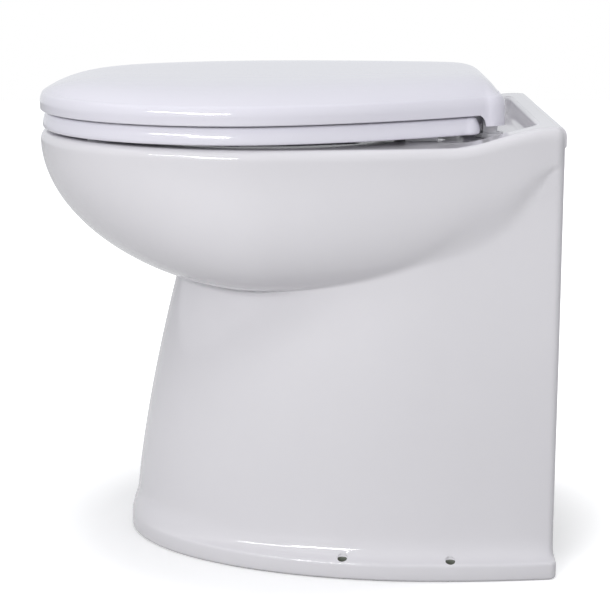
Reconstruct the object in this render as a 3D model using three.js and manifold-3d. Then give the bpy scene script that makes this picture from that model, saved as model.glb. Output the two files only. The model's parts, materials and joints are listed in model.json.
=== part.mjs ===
// Electric marine toilet: one-piece glazed china bowl and pedestal, seat ring, lid and hinges,
// with the macerator pump, its motor, the discharge line, the rinse valve and the rinse hose
// that stand inside the pedestal. Millimetres, +Z up, the front is -Y and the back is +Y.
// The origin lies on the floor, under the middle of the outline.
import * as THREE from 'three';
import Module from 'manifold-3d';
import { mergeVertices } from 'three/addons/utils/BufferGeometryUtils.js';

const wasm = await Module();
wasm.setup();

// Driving dimensions of the whole
const overallLength = 494;
const rimHeight = 406.5;
const rimWidth = 363;
const deckWidth = 308;
const backY = overallLength / 2;
const frontY = -backY;

// Shared clearances, overrun of the cutting shapes and faces on round forms
const gap = 0.3;
const overrun = 1;
const smallSides = 10;
const middleSides = 14;
const largeSides = 24;
const curveSteps = 4;
const sharpestMitreShare = 0.3;

// China: the rim in plan and the bulge of the bowl below it
const rimFrontLength = 221;
const rimSidePower = 1.8;
const rimEdgeRadius = 9.5;
const rimCornerRadius = 10;
const rimBandShares = [0.165, 0.2];
const bulgeFrontDepth = 142;
const bulgeFrontPower = 1.95;
const bulgeSideDepth = 135;
const bulgeSidePower = 4.5;
const bulgeBackDepth = 7;
const bulgeBackPower = 3.4;
const bulgeDepthPower = 4;
const bulgeHollowShare = 0.9;
const backCornerRadius = 7;

// China: the raised border round the back of the deck
const borderRise = 17.5;
const borderRampStart = 107;
const borderRampEnd = 12;
const borderWidth = 23;
const borderDraft = 7;
const borderCornerRadius = 24;
const recessForward = 117;
const recessFloorLift = 0.02;
const lipHeight = 19;
const lipProud = 1.5;
const lipEdge = 1.5;

// China: the pedestal and its foot
const pedestalWidestShare = 0.771;
const pedestalFrontInset = 87;
const pedestalBackHalfWidth = 159;
const pedestalSideSwell = 6;
const pedestalSideTaper = 5;
const pedestalFrontTaper = 41;
const pedestalTaperHeight = 226;
const pedestalTaperPower = 1.4;
const footFrontReach = 6;
const footSideReach = 11;
const footFaceHeight = 17;
const footTopHeight = 26;
const footEdge = 1.5;

// China: walls, the hollow of the pedestal and the bowl itself
const chinaWall = 13;
const bowlSkin = 12;
const bowlSkinBelow = 16;
const hollowSplitHeight = 300;
const openingFrontBand = 44;
const openingSideBand = 48;
const openingBackBand = 137;
const openingEdge = 5;
const bowlStraightDepth = 5;
const spigotLength = 57.7;
const outletSetback = 217;
const outletBoreRadius = 32;
const outletWall = 10;
const bowlPower = 2;
const bowlRootPower = 0.7;
const rearDoorWidth = 216;
const rearDoorHeight = 292;
const rearDoorCorner = 40;

// China: holes for the hinge bolts, the floor fixings and the rinse nozzle
const hingeSpacing = 155;
const hingeHoleRadius = 5;
const fixingHoleRadius = 4.2;
const fixingHoleInset = 6;
const fixingHoleFrontSetback = 201;
const fixingHoleBackSetback = 100;
const nozzleBelowRim = 34.5;
const nozzleBodyRadius = 9;

// Seat and lid: the plan outline that both follow, and how they lie on the rim
const seatOverhang = 1.5;
const seatFrontGap = 0.5;
const seatFrontLength = 210;
const seatRearHalfWidth = 105;
const seatRearPower = 1.7;
const seatTilt = 0.0125;
const seatRimGap = 3.9;
const seatThickness = 16.6;
const seatInset = 2;
const seatEdgeRadius = 7;
const seatUnderEdge = 2.5;
const seatHingeGap = 12;
const seatCornerRadius = 14;
const seatHoleHalfWidth = 112;
const seatHoleFrontBand = 77;
const seatHoleBackBand = 76.5;
const seatHoleEdge = 7;
const lidSeatGap = 0.6;
const lidHingeReach = 12.5;
const lidCornerRadius = 18;
const lidSideHeight = 14;
const lidShoulderWidth = 12;
const lidShoulderHeight = 12.5;
const lidCrown = 4;
const lidUnderEdge = 1;
const lidWall = 5;
const lidTopWall = 7;
const lobeDrop = 10;
const lobeLength = 19.5;
const lobeSlant = 5;

// Hinges: pins, posts on the deck and the ears of the seat and the lid
const hingeSetback = 63;
const hingeAboveRim = 18.5;
const pinRadius = 3.5;
const pinHeadRadius = 5;
const pinHeadLength = 2;
const barrelRadius = 6.8;
const postWidth = 14;
const postBaseRadius = 13;
const postBaseHeight = 4;
const earWidth = 10;
const earSideGap = 1.5;
const notchClearance = 1.5;
const hingeBoltRadius = 3.9;
const hingeBoltEngagement = 7;
const hingeBoltLength = 42;
const hingeNutFlangeRadius = 13;
const hingeNutFlangeThickness = 2.5;
const hingeNutRadius = 9;
const hingeNutHeight = 9;
const hingeNutWing = 15;
const hingeNutWingWidth = 4;

// Buffers between the rim, the seat and the lid
const bufferWidth = 12;
const bufferLength = 30;
const bufferFrontX = 100;
const bufferFrontSetback = 71.5;
const bufferRearX = 110;
const bufferRearSetback = 54;
const lidBufferRadius = 5;
const lidBufferHeight = 3;
const lidBufferFrontX = 105;
const lidBufferSetback = 81.5;
const lidBossWall = 1.5;

// Pump: macerator housing, inlet elbow and what turns inside
const pumpAxisHeight = 78;
const spigotEndGap = 3;
const sealWall = 5;
const sealLip = 5;
const sealLipHeight = 3;
const socketWall = 5;
const socketDepth = 28;
const socketFlangeOverlap = 2.6;
const elbowBoreRadius = 30;
const elbowWall = 5;
const elbowSteps = 5;
const elbowTopFloor = 4;
const flangeRadius = 57;
const flangeThickness = 6;
const housingBoreRadius = 44;
const housingWall = 5;
const housingLength = 42;
const housingFlangeThickness = 5;
const housingScrewCircle = 52.2;
const housingScrewRadius = 2.5;
const housingScrewCount = 3;
const housingScrewStart = 80;
const screwHeadRadius = 4.2;
const screwHeadHeight = 3;
const sealPlateThickness = 8;
const shaftRadius = 5;
const bladeRadius = 41;
const bladeThickness = 3;
const bladeRootHalfWidth = 9;
const bladeTipHalfWidth = 5;
const bladeHubRadius = 11;
const bladeHubLength = 8;
const bladeHubStart = 4.5;
const wearPlateThickness = 3;
const wearPlateGap = 1;
const wearSlotCount = 6;
const wearSlotRadius = 6;
const wearSlotCircle = 28;
const wearEyeRadius = 13;
const impellerRadius = 40;
const impellerDiscThickness = 3;
const impellerVaneHeight = 9;
const impellerVaneThickness = 3.5;
const impellerVaneCount = 5;
const impellerHubRadius = 10;
const shaftSealRadius = 12;
const shaftSealLength = 6;

// Motor: can, magnets, armature, commutator, brushes, bearings and end cap
const motorRadius = 37;
const motorCanWall = 3;
const motorLength = 118;
const magnetThickness = 7;
const armatureRadius = 25.5;
const armatureLength = 56;
const armatureSlotCount = 12;
const armatureSlotDepth = 6;
const armatureSlotShare = 0.42;
const windingRadius = 20;
const windingLength = 9;
const commutatorRadius = 11;
const commutatorLength = 16;
const brushWidth = 6;
const brushHeight = 9;
const brushLength = 12;
const bearingRadius = 11;
const bearingLength = 7;
const endCapLength = 14;
const endCapEdge = 3;
const endCapFloor = 5;
const glandRadius = 8;
const glandLength = 14;
const glandNutRadius = 10;
const glandNutLength = 6;
const glandBoreRadius = 3.5;
const glandHeight = 18;

// Pump base: plate on rubber feet, saddles and straps that hold the motor
const rubberStripWidth = 20;
const rubberStripHeight = 9;
const plateThickness = 3;
const plateSaddleBorder = 4;
const plateValveReach = 107;
const plateOutletGap = 114;
const plateLength = 112;
const saddleLength = 60;
const saddleSideWall = 11;
const saddleBelowAxis = 12;
const saddleInset = 28;
const strapWidth = 20;
const strapThickness = 1.5;
const strapTab = 10;
const strapScrewRadius = 2;
const strapScrewDepth = 8;

// Discharge line: port, elbow, non-return valve and hose tail
const dischargeX = 27;
const dischargeBoreRadius = 15;
const dischargeWall = 4;
const dischargePortRise = 68;
const dischargeElbowRadius = 30;
const dischargeSleeveWall = 3.5;
const dischargeSleeveLength = 10;
const dischargeSleeveFloor = 3.5;
const dischargeFlangeRadius = 26;
const dischargeFlangeThickness = 5;
const unionNutWall = 4;
const unionNutLength = 15;
const unionNutEnd = 4;
const jokerFlangeThickness = 3;
const jokerLength = 28;
const jokerWall = 2;
const jokerLipGap = 0.6;
const jokerChamberRadius = 17.5;
const jokerChamberWall = 3.5;
const jokerChamberLength = 34;
const tailPlateReach = 42;
const barbHeight = 1.5;
const barbPitch = 9;
const barbCount = 3;

// Rinse water: valve body, coil, plunger, spring, tails, hose, clips and nozzle
const valveX = -88;
const valveHeight = 40;
const valveBodyRadius = 14;
const valveInset = 34;
const valveBodyLength = 54;
const valveBoreRadius = 6;
const valveFootHalfWidth = 11;
const valveFootLength = 30;
const valveBossHeight = 15;
const valveSeatHeight = 7;
const valveOrificeRadius = 3;
const valveOutletRadius = 9;
const valveOutletRise = 15;
const coreTubeRadius = 7.5;
const coreTubeBoreRadius = 5;
const coreTubeHeight = 50;
const coreTubeEnd = 4.3;
const bonnetRadius = 13;
const bonnetHeight = 5;
const coilHalfWidth = 17;
const coilHeight = 34;
const coilLift = 6;
const coilCorner = 4;
const coilNutRadius = 9;
const coilNutHeight = 5;
const plungerRadius = 4.6;
const plungerLength = 22;
const springRadius = 3.6;
const springWire = 0.8;
const springTurns = 5;
const springStepsPerTurn = 8;
const springSides = 4;
const waterTailRadius = 9;
const waterTailBoreRadius = 6.5;
const waterTailHexRadius = 13;
const waterTailHexLength = 9;
const hoseBoreRadius = 6.6;
const hoseWall = 2.6;
const hoseBarbRadius = 5.7;
const hoseBarbBoreRadius = 4;
const hoseBarbLength = 20;
const valveOutletReach = 20;
const nozzleElbowReach = 26.5;
const hoseOverlap = 18;
const hoseSides = 8;
const hoseSteps = 18;
const nozzleHeadRadius = 13;
const nozzleHeadLength = 8;
const nozzleHeadStandoff = 3.2;
const nozzleSlotRadius = 3;
const nozzleBoreRadius = 4;
const nozzleDrop = 12;
const nozzleNutRadius = 16;
const nozzleNutLength = 8;
const nozzleNutStandoff = 0.8;
const nozzleFlangeRadius = 19;
const nozzleFlangeThickness = 2.5;

// Places worked out from the driving dimensions
const rimHalf = rimWidth / 2;
const rimWidestY = frontY + rimFrontLength;
const fullHeight = rimHeight - rimEdgeRadius;
const wallBackY = backY - lipProud;
const borderTop = rimHeight + borderRise;
const pedestalTop = rimHeight - chinaWall;
const pedestalWidestY = backY - backY * 2 * (1 - pedestalWidestShare);
const outletY = frontY + outletSetback;
const openingLength = overallLength - openingFrontBand - openingBackBand;
const fixingHoleFrontY = backY - fixingHoleFrontSetback;
const fixingHoleBackY = backY - fixingHoleBackSetback;
const nozzleHeight = rimHeight - nozzleBelowRim;
const spigotRadius = outletBoreRadius + outletWall;
const sealRadius = spigotRadius + gap + sealWall;
const socketRadius = sealRadius + gap + socketWall;
const elbowRadius = socketRadius - socketFlangeOverlap;
const elbowTop = pumpAxisHeight + elbowRadius;
const socketFloor = elbowTop + overrun;
const spigotEndHeight = socketFloor + gap + spigotEndGap;
const sumpHeight = spigotEndHeight + spigotLength;
const hingeY = backY - hingeSetback;
const hingeHeight = rimHeight + hingeAboveRim;
const seatHalf = rimHalf + seatOverhang;
const seatPlanFront = frontY + seatFrontGap;
const seatWidestY = seatPlanFront + seatFrontLength;
const seatRearY = hingeY - seatHingeGap;
const seatPivotY = (frontY + seatRearY) / 2;
const seatHoleLength = seatRearY - seatHoleBackBand - seatPlanFront - seatHoleFrontBand;
const lidRearY = hingeY + lidHingeReach;
const bufferFrontY = seatPlanFront + bufferFrontSetback;
const bufferRearY = seatRearY - bufferRearSetback;
const lidBufferFrontY = seatPlanFront + lidBufferSetback;
const dischargePortTop = pumpAxisHeight + dischargePortRise;
const saddleHalfWidth = motorRadius + saddleSideWall;
const plateHalfWidth = saddleHalfWidth + plateSaddleBorder;
const plateFrontY = outletY + plateOutletGap;
const plateBackY = plateFrontY + plateLength;
const tailHigh = plateBackY + tailPlateReach;
const saddleFrontY = plateFrontY + saddleInset;
const valveBodyStart = plateFrontY + valveInset;
const valveCoreY = valveBodyStart + valveBodyLength / 2;
const hoseStartY = valveBodyStart - valveOutletReach;

// Turns a closed three.js geometry into a solid, with its faces pointing out
function solidOf(geometry) {
  const bare = geometry.clone();
  bare.deleteAttribute('normal');
  bare.deleteAttribute('uv');
  const welded = mergeVertices(bare);
  const places = welded.attributes.position.array;
  const corners = Uint32Array.from(welded.index.array);
  const kept = [];
  for (let i = 0; i < corners.length; i += 3) {
    const [a, b, c] = [corners[i], corners[i + 1], corners[i + 2]];
    if (a !== b && b !== c && c !== a) kept.push(a, b, c);
  }
  let volume = 0;
  const p = (k) => new THREE.Vector3().fromArray(places, k * 3);
  for (let i = 0; i < kept.length; i += 3) {
    volume += p(kept[i]).dot(p(kept[i + 1]).cross(p(kept[i + 2])));
  }
  if (volume < 0) kept.reverse();
  const mesh = new wasm.Mesh({
    numProp: 3,
    vertProperties: Float32Array.from(places),
    triVerts: Uint32Array.from(kept),
  });
  return new wasm.Manifold(mesh);
}

// Turns a solid back into a geometry for a mesh
function geometryOf(solid) {
  const mesh = solid.getMesh();
  const geometry = new THREE.BufferGeometry();
  geometry.setAttribute('position', new THREE.BufferAttribute(mesh.vertProperties, 3));
  geometry.setIndex(new THREE.BufferAttribute(mesh.triVerts, 1));
  geometry.computeVertexNormals();
  return geometry;
}

const joined = (solids) => solids.reduce((whole, solid) => whole.add(solid));
const cutBy = (solid, cutters) => cutters.reduce((left, cutter) => left.subtract(cutter), solid);

// Skins a row of loops, each a list of Vector3 with the same count, and closes both ends
function loft(loops) {
  const count = loops[0].length;
  const places = [];
  const index = [];
  const centreOf = (loop) => loop.reduce((sum, point) => sum.add(point), new THREE.Vector3())
    .divideScalar(count);
  for (const loop of loops) for (const point of loop) places.push(point.x, point.y, point.z);
  for (let row = 0; row + 1 < loops.length; row += 1) {
    for (let i = 0; i < count; i += 1) {
      const next = (i + 1) % count;
      const [a, b] = [row * count + i, row * count + next];
      index.push(a, b, b + count, a, b + count, a + count);
    }
  }
  const last = (loops.length - 1) * count;
  const startCentre = loops.length * count;
  places.push(...centreOf(loops[0]).toArray(), ...centreOf(loops.at(-1)).toArray());
  for (let i = 0; i < count; i += 1) {
    const next = (i + 1) % count;
    index.push(startCentre, next, i, startCentre + 1, last + i, last + next);
  }
  const geometry = new THREE.BufferGeometry();
  geometry.setAttribute('position', new THREE.Float32BufferAttribute(places, 3));
  geometry.setIndex(index);
  return solidOf(geometry);
}

// A closed loop at one height from the plan points of its right half, front to back
function mirroredLoop(half, height) {
  const left = half.filter((point) => point.x > 0).map((point) => new THREE.Vector2(-point.x, point.y));
  return [...half, ...left.reverse()].map((point) => new THREE.Vector3(point.x, point.y, height));
}

// Moves every point of a convex loop inward by the same distance, at its own height
function insetLoop(loop, distance) {
  return loop.map((point, i) => {
    const before = loop[(i + loop.length - 1) % loop.length];
    const after = loop[(i + 1) % loop.length];
    const first = new THREE.Vector2(point.x - before.x, point.y - before.y).normalize();
    const second = new THREE.Vector2(after.x - point.x, after.y - point.y).normalize();
    const inward = new THREE.Vector2(-first.y - second.y, first.x + second.x);
    const stretch = distance / Math.max(inward.lengthSq() / 2, sharpestMitreShare);
    return new THREE.Vector3(point.x + inward.x * stretch, point.y + inward.y * stretch, point.z);
  });
}

const raisedLoop = (loop, height) => loop.map((point) => new THREE.Vector3(point.x, point.y, height));

// Round rods and rings along each axis, and boxes
function rodZ(radius, low, high, x = 0, y = 0, sides = middleSides) {
  const geometry = new THREE.CylinderGeometry(radius, radius, high - low, sides);
  geometry.rotateX(Math.PI / 2);
  return solidOf(geometry.translate(x, y, (low + high) / 2));
}

function rodY(radius, low, high, x = 0, z = 0, sides = middleSides) {
  const geometry = new THREE.CylinderGeometry(radius, radius, high - low, sides);
  return solidOf(geometry.translate(x, (low + high) / 2, z));
}

function rodX(radius, low, high, y = 0, z = 0, sides = middleSides) {
  const geometry = new THREE.CylinderGeometry(radius, radius, high - low, sides);
  geometry.rotateZ(Math.PI / 2);
  return solidOf(geometry.translate((low + high) / 2, y, z));
}

// The two ends of a span on one side of the middle plane, the lower one first
const across = (side, near, far) => [
  Math.min(side * near, side * far), Math.max(side * near, side * far)];

function block(x0, x1, y0, y1, z0, z1) {
  const geometry = new THREE.BoxGeometry(x1 - x0, y1 - y0, z1 - z0);
  return solidOf(geometry.translate((x0 + x1) / 2, (y0 + y1) / 2, (z0 + z1) / 2));
}

// A solid of revolution about an axis along Y, from closed points of radius and place along it
function turnedY(points, x = 0, z = 0, sides = largeSides) {
  const profile = points.map(([radius, along]) => new THREE.Vector2(radius, along));
  const closed = profile[0].x === 0 && profile.at(-1).x === 0 ? profile : [...profile, profile[0]];
  return solidOf(new THREE.LatheGeometry(closed, sides).translate(x, 0, z));
}

// The same about an axis along Z
function turnedZ(points, x = 0, y = 0, sides = largeSides) {
  const profile = points.map(([radius, along]) => new THREE.Vector2(radius, along));
  const closed = profile[0].x === 0 && profile.at(-1).x === 0 ? profile : [...profile, profile[0]];
  return solidOf(new THREE.LatheGeometry(closed, sides).rotateX(Math.PI / 2).translate(x, y, 0));
}

const ringY = (inner, outer, low, high, x, z, sides) => turnedY(
  [[inner, low], [outer, low], [outer, high], [inner, high]], x, z, sides);
const ringZ = (inner, outer, low, high, x, y, sides) => turnedZ(
  [[inner, low], [outer, low], [outer, high], [inner, high]], x, y, sides);

// A flat outline in X and Z pushed along Y
function prismY(shape, low, high) {
  const geometry = new THREE.ExtrudeGeometry(shape, {
    depth: high - low, bevelEnabled: false, curveSegments: curveSteps,
  });
  geometry.rotateX(Math.PI / 2);
  return solidOf(geometry.translate(0, high, 0));
}

// A flat outline in X and Y pushed along Z
function prismZ(shape, low, high) {
  const geometry = new THREE.ExtrudeGeometry(shape, {
    depth: high - low, bevelEnabled: false, curveSegments: curveSteps,
  });
  return solidOf(geometry.translate(0, 0, low));
}

// A flat outline in Y and Z pushed along X
function prismX(shape, low, high) {
  const geometry = new THREE.ExtrudeGeometry(shape, {
    depth: high - low, bevelEnabled: false, curveSegments: curveSteps,
  });
  const turn = new THREE.Matrix4().makeBasis(
    new THREE.Vector3(0, 1, 0), new THREE.Vector3(0, 0, 1), new THREE.Vector3(1, 0, 0));
  return solidOf(geometry.applyMatrix4(turn).translate(low, 0, 0));
}

function roundedBox2D(x0, x1, y0, y1, radius) {
  const shape = new THREE.Shape();
  shape.moveTo(x0 + radius, y0);
  shape.lineTo(x1 - radius, y0);
  shape.absarc(x1 - radius, y0 + radius, radius, -Math.PI / 2, 0);
  shape.lineTo(x1, y1 - radius);
  shape.absarc(x1 - radius, y1 - radius, radius, 0, Math.PI / 2);
  shape.lineTo(x0 + radius, y1);
  shape.absarc(x0 + radius, y1 - radius, radius, Math.PI / 2, Math.PI);
  shape.lineTo(x0, y0 + radius);
  shape.absarc(x0 + radius, y0 + radius, radius, Math.PI, Math.PI * 1.5);
  return shape;
}

// A round bar along a quarter bend in the plane of Y and Z: it starts upright and ends along +Y
function bend(radius, bendRadius, startY, startZ, x, rising, steps) {
  const loops = [];
  for (let step = 0; step <= steps; step += 1) {
    const angle = (step / steps) * Math.PI / 2;
    const centre = new THREE.Vector3(x, startY + bendRadius * (1 - Math.cos(angle)),
      startZ + rising * bendRadius * Math.sin(angle));
    const across = new THREE.Vector3(0, Math.cos(angle), -rising * Math.sin(angle));
    const loop = [];
    for (let side = 0; side < middleSides; side += 1) {
      const turn = (side / middleSides) * Math.PI * 2;
      const offset = across.clone().multiplyScalar(Math.cos(turn) * radius);
      loop.push(centre.clone().add(offset).add(new THREE.Vector3(Math.sin(turn) * radius, 0, 0)));
    }
    loops.push(loop);
  }
  return loft(loops);
}

// Places round a circle, from an angle to the upright measured towards +X, in degrees
function aroundAxis(count, circle, start, x = 0, z = 0) {
  return Array.from({ length: count }, (_, i) => {
    const angle = THREE.MathUtils.degToRad(start + (i * 360) / count);
    return [x + circle * Math.sin(angle), z + circle * Math.cos(angle)];
  });
}

// Materials, with the colours that the photograph shows or that such parts have
function finish(color, roughness, metalness) {
  return () => new THREE.MeshStandardMaterial({ color, roughness, metalness });
}
const glazedChina = finish(0xe9e9ec, 0.12, 0);
const mouldedSeat = finish(0xebebef, 0.2, 0);
const paleRubber = finish(0xd8d8da, 0.7, 0);
const blackRubber = finish(0x1c1c1e, 0.8, 0);
const stainless = finish(0xb9bbbe, 0.3, 1);
const pumpPlastic = finish(0x2a2b2e, 0.5, 0);
const whitePlastic = finish(0xe4e4e6, 0.45, 0);
const motorPaint = finish(0x3a3d42, 0.45, 0.2);
const copper = finish(0xb8734a, 0.35, 1);
const carbon = finish(0x2b2b2b, 0.7, 0);
const magnetGrey = finish(0x4a4a4e, 0.8, 0);
const brassFinish = finish(0xb89a5a, 0.35, 1);
const clearHose = finish(0xc9ccd0, 0.4, 0);

const toilet = new THREE.Group();
const seatFrame = new THREE.Group();
seatFrame.position.set(0, seatPivotY, rimHeight + seatRimGap);
seatFrame.rotation.x = Math.atan(seatTilt);
toilet.add(seatFrame);

function addPart(name, solid, material, parent = toilet) {
  const mesh = new THREE.Mesh(geometryOf(solid), material());
  mesh.name = name;
  parent.add(mesh);
}

// China bowl, rim, pedestal and foot, fired as one piece

// How far the border has risen above the rim at a place along the toilet
function riseAt(y) {
  const start = backY - borderRampStart;
  const end = backY - borderRampEnd;
  const share = THREE.MathUtils.clamp((y - start) / (end - start), 0, 1);
  return borderRise * share * share * (3 - 2 * share);
}

const bulgeRowShare = (share, power) => (1 - Math.min(share, 1) ** power) ** (1 / power);

const frontReachAt = (height) => rimFrontLength * bulgeRowShare(
  Math.max(0, fullHeight - height) / bulgeFrontDepth, bulgeFrontPower);

// Columns of the bulge down its right half, front to back. Each has its own depth, and a place in
// plan for each share of that depth, so that the bulge runs out level with its own lower edge.
function bowlColumns(wall = 0, frontSteps = 12, sideSteps = 12) {
  const cornerSteps = 3;
  const columns = [];
  for (let i = 0; i < frontSteps; i += 1) {
    const angle = (i / frontSteps) * Math.PI / 2;
    columns.push({
      depth: bulgeFrontDepth + (bulgeSideDepth - bulgeFrontDepth) * Math.sin(angle) ** 2,
      place: (share) => new THREE.Vector2(
        (rimHalf * bulgeRowShare(share, bulgeSidePower) - wall) * Math.sin(angle),
        rimWidestY - (rimFrontLength * bulgeRowShare(share, bulgeFrontPower) - wall) * Math.cos(angle)),
    });
  }
  const endY = wallBackY - wall - rimCornerRadius;
  const column = (y, inset, along) => {
    const share = (y - rimWidestY) / (backY - rimWidestY);
    const planWidth = rimHalf - (rimHalf - deckWidth / 2) * share ** rimSidePower;
    const power = bulgeSidePower + (bulgeBackPower - bulgeSidePower) * share;
    return {
      depth: bulgeSideDepth - (bulgeSideDepth - bulgeBackDepth) * share ** bulgeDepthPower,
      place: (rowShare) => new THREE.Vector2(
        planWidth * bulgeRowShare(rowShare, power) - wall - inset, y + along),
    };
  };
  for (let i = 0; i <= sideSteps; i += 1) {
    columns.push(column(rimWidestY + (endY - rimWidestY) * (i / sideSteps), 0, 0));
  }
  for (let i = 1; i <= cornerSteps; i += 1) {
    const angle = (i / cornerSteps) * Math.PI / 2;
    columns.push(column(
      endY, rimCornerRadius * (1 - Math.cos(angle)), rimCornerRadius * Math.sin(angle)));
  }
  return columns;
}

// Closed loop of the bulge, from the share of its depth that each column has come down
function bulgeLoop(columns, shareOf) {
  const half = columns.map((column) => {
    const share = shareOf(column);
    const point = column.place(share);
    return new THREE.Vector3(point.x, point.y, fullHeight - column.depth * share);
  });
  const left = half.filter((point) => point.x > 0).map(
    (point) => new THREE.Vector3(-point.x, point.y, point.z));
  return [...half, ...left.reverse()];
}

const risen = (loop, height) => loop.map(
  (point) => new THREE.Vector3(point.x, point.y, height + riseAt(point.y)));

function bowlOutside() {
  const bulgeShares = [0.99, 0.955, 0.91, 0.86, 0.79, 0.7, 0.58, 0.42, 0.22];
  const edgeShares = [0, 0.33, 0.62, 0.84, 1];
  const columns = bowlColumns();
  const loops = bulgeShares.map((share) => bulgeLoop(columns, () => share));
  const full = bulgeLoop(columns, () => 0);
  for (const share of edgeShares) {
    const angle = share * Math.PI / 2;
    const loop = insetLoop(full, rimEdgeRadius * (1 - Math.cos(angle)));
    loops.push(risen(loop, fullHeight + rimEdgeRadius * Math.sin(angle)));
  }
  const drawnIn = (share) => full.map(
    (point) => new THREE.Vector3(point.x * (1 - share), point.y * (1 - share), point.z));
  loops.push(risen(drawnIn(rimBandShares[0]), rimHeight));
  loops.push(raisedLoop(drawnIn(rimBandShares[1]), rimHeight));
  return loft(loops);
}

// The upright lip that the back of the deck ends in
function deckLip() {
  const halfWidth = deckWidth / 2;
  const top = borderTop - lipEdge;
  const outline = (inset) => {
    const half = [new THREE.Vector2(0, backY - borderWidth)];
    half.push(new THREE.Vector2(halfWidth - inset - lipEdge, backY - borderWidth));
    half.push(new THREE.Vector2(halfWidth - inset, backY - backCornerRadius));
    half.push(new THREE.Vector2(halfWidth - inset - backCornerRadius / 3, backY - inset - lipEdge));
    half.push(new THREE.Vector2(halfWidth - inset - backCornerRadius, backY - inset));
    return half;
  };
  return loft([
    mirroredLoop(outline(lipEdge), borderTop - lipHeight - lipEdge),
    mirroredLoop(outline(0), borderTop - lipHeight),
    mirroredLoop(outline(0), top - lipEdge),
    mirroredLoop(outline(lipEdge), top),
  ]);
}

const pedestalShareAt = (height) => THREE.MathUtils.clamp(
  (height - footTopHeight) / (pedestalTop - footTopHeight), 0, 1);

function pedestalFrontAt(height) {
  const share = Math.max(0, height - footTopHeight) / pedestalTaperHeight;
  return frontY + pedestalFrontInset + pedestalFrontTaper * share ** pedestalTaperPower;
}

// Right half of the pedestal's outline; the foot stands out from it by the given reach
function pedestalHalf(height, frontReach, sideReach, back, frontSteps = 14, sideSteps = 3) {
  const cornerSteps = 2;
  const share = pedestalShareAt(height);
  const backHalf = pedestalBackHalfWidth - pedestalSideTaper * share + sideReach;
  const widest = backHalf + pedestalSideSwell * (1 - share) ** 2;
  const reach = pedestalWidestY - pedestalFrontAt(height) + frontReach;
  const half = [];
  for (let i = 0; i < frontSteps; i += 1) {
    const angle = (i / frontSteps) * Math.PI / 2;
    half.push(new THREE.Vector2(widest * Math.sin(angle), pedestalWidestY - reach * Math.cos(angle)));
  }
  const endY = back - backCornerRadius;
  for (let i = 0; i <= sideSteps; i += 1) {
    const along = i / sideSteps;
    half.push(new THREE.Vector2(
      widest - (widest - backHalf) * along * along, pedestalWidestY + (endY - pedestalWidestY) * along));
  }
  for (let i = 1; i <= cornerSteps; i += 1) {
    const angle = (i / cornerSteps) * Math.PI / 2;
    half.push(new THREE.Vector2(
      backHalf - backCornerRadius * (1 - Math.cos(angle)), endY + backCornerRadius * Math.sin(angle)));
  }
  return half;
}

function pedestalOutside() {
  const wallShares = [0, 0.12, 0.27, 0.43, 0.56, 0.63, 0.7, 0.77, 0.85, 0.93, 1];
  const foot = mirroredLoop(pedestalHalf(0, footFrontReach, footSideReach, backY), 0);
  const loops = [
    insetLoop(foot, footEdge),
    raisedLoop(foot, footEdge),
    raisedLoop(foot, footFaceHeight - footEdge),
    raisedLoop(insetLoop(foot, footEdge / 2), footFaceHeight),
  ];
  for (const share of wallShares) {
    const height = footTopHeight + (pedestalTop - footTopHeight) * share;
    loops.push(mirroredLoop(pedestalHalf(height, 0, 0, wallBackY), height));
  }
  return loft(loops);
}

function pedestalHollow() {
  const shares = [0, 0.3, 0.6, 1];
  const [frontSteps, sideSteps] = [8, 2];
  const back = wallBackY - chinaWall;
  const within = (height) => pedestalHalf(
    height, -chinaWall, -chinaWall, back, frontSteps, sideSteps);
  const loops = [mirroredLoop(within(0), -overrun)];
  for (const share of shares) {
    const height = footTopHeight + (pedestalTop - footTopHeight) * share;
    loops.push(mirroredLoop(within(height), height));
  }
  const bulgeShares = [0, 0.5, 1];
  const columns = bowlColumns(chinaWall, frontSteps, sideSteps * 2);
  const bulge = bulgeShares.map((share) => {
    const height = hollowSplitHeight + (pedestalTop - hollowSplitHeight) * share;
    return raisedLoop(bulgeLoop(columns, (column) => Math.min(
      (fullHeight - height) / column.depth, bulgeHollowShare)), height);
  });
  return loft(loops).add(loft(bulge));
}

// Middle, half length and fullness of the bowl's inside at a height
function bowlMiddle(height) {
  const top = rimHeight - bowlStraightDepth;
  const share = THREE.MathUtils.clamp((top - height) / (top - sumpHeight), 0, 1);
  const fullness = (1 - share ** bowlPower) ** bowlRootPower;
  const openCentre = frontY + openingFrontBand + openingLength / 2;
  const centre = openCentre + (outletY - openCentre) * share;
  const lengthReach = outletBoreRadius + (openingLength / 2 - outletBoreRadius) * fullness;
  return { centre, lengthReach, fullness };
}

const nozzleWall = bowlMiddle(nozzleHeight);
const nozzleWallY = nozzleWall.centre + nozzleWall.lengthReach;
const nozzleHeadBack = nozzleWallY - nozzleHeadStandoff;
const nozzleNutStart = nozzleWallY + bowlSkin + nozzleNutStandoff;
const hoseEndY = nozzleNutStart + nozzleElbowReach;

// Inside of the bowl, from the rim opening down to the sump, grown outward by a wall if asked
function bowlLoop(height, grow, steps) {
  const { centre, lengthReach, fullness } = bowlMiddle(height);
  const sideReach = outletBoreRadius + (rimHalf - openingSideBand - outletBoreRadius) * fullness;
  const below = Math.max(height - bowlSkinBelow, fullHeight - bulgeFrontDepth);
  const frontLimit = Math.min(rimWidestY - frontReachAt(below), pedestalFrontAt(height)) + chinaWall;
  const frontReach = Math.min(lengthReach, centre - frontLimit);
  const loop = [];
  for (let i = 0; i < steps; i += 1) {
    const angle = (i / steps) * Math.PI * 2;
    const along = Math.cos(angle);
    const reach = (along > 0 ? frontReach : lengthReach) + grow;
    loop.push(new THREE.Vector3(
      (sideReach + grow) * Math.sin(angle), centre - reach * along, height));
  }
  return loop;
}

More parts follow.
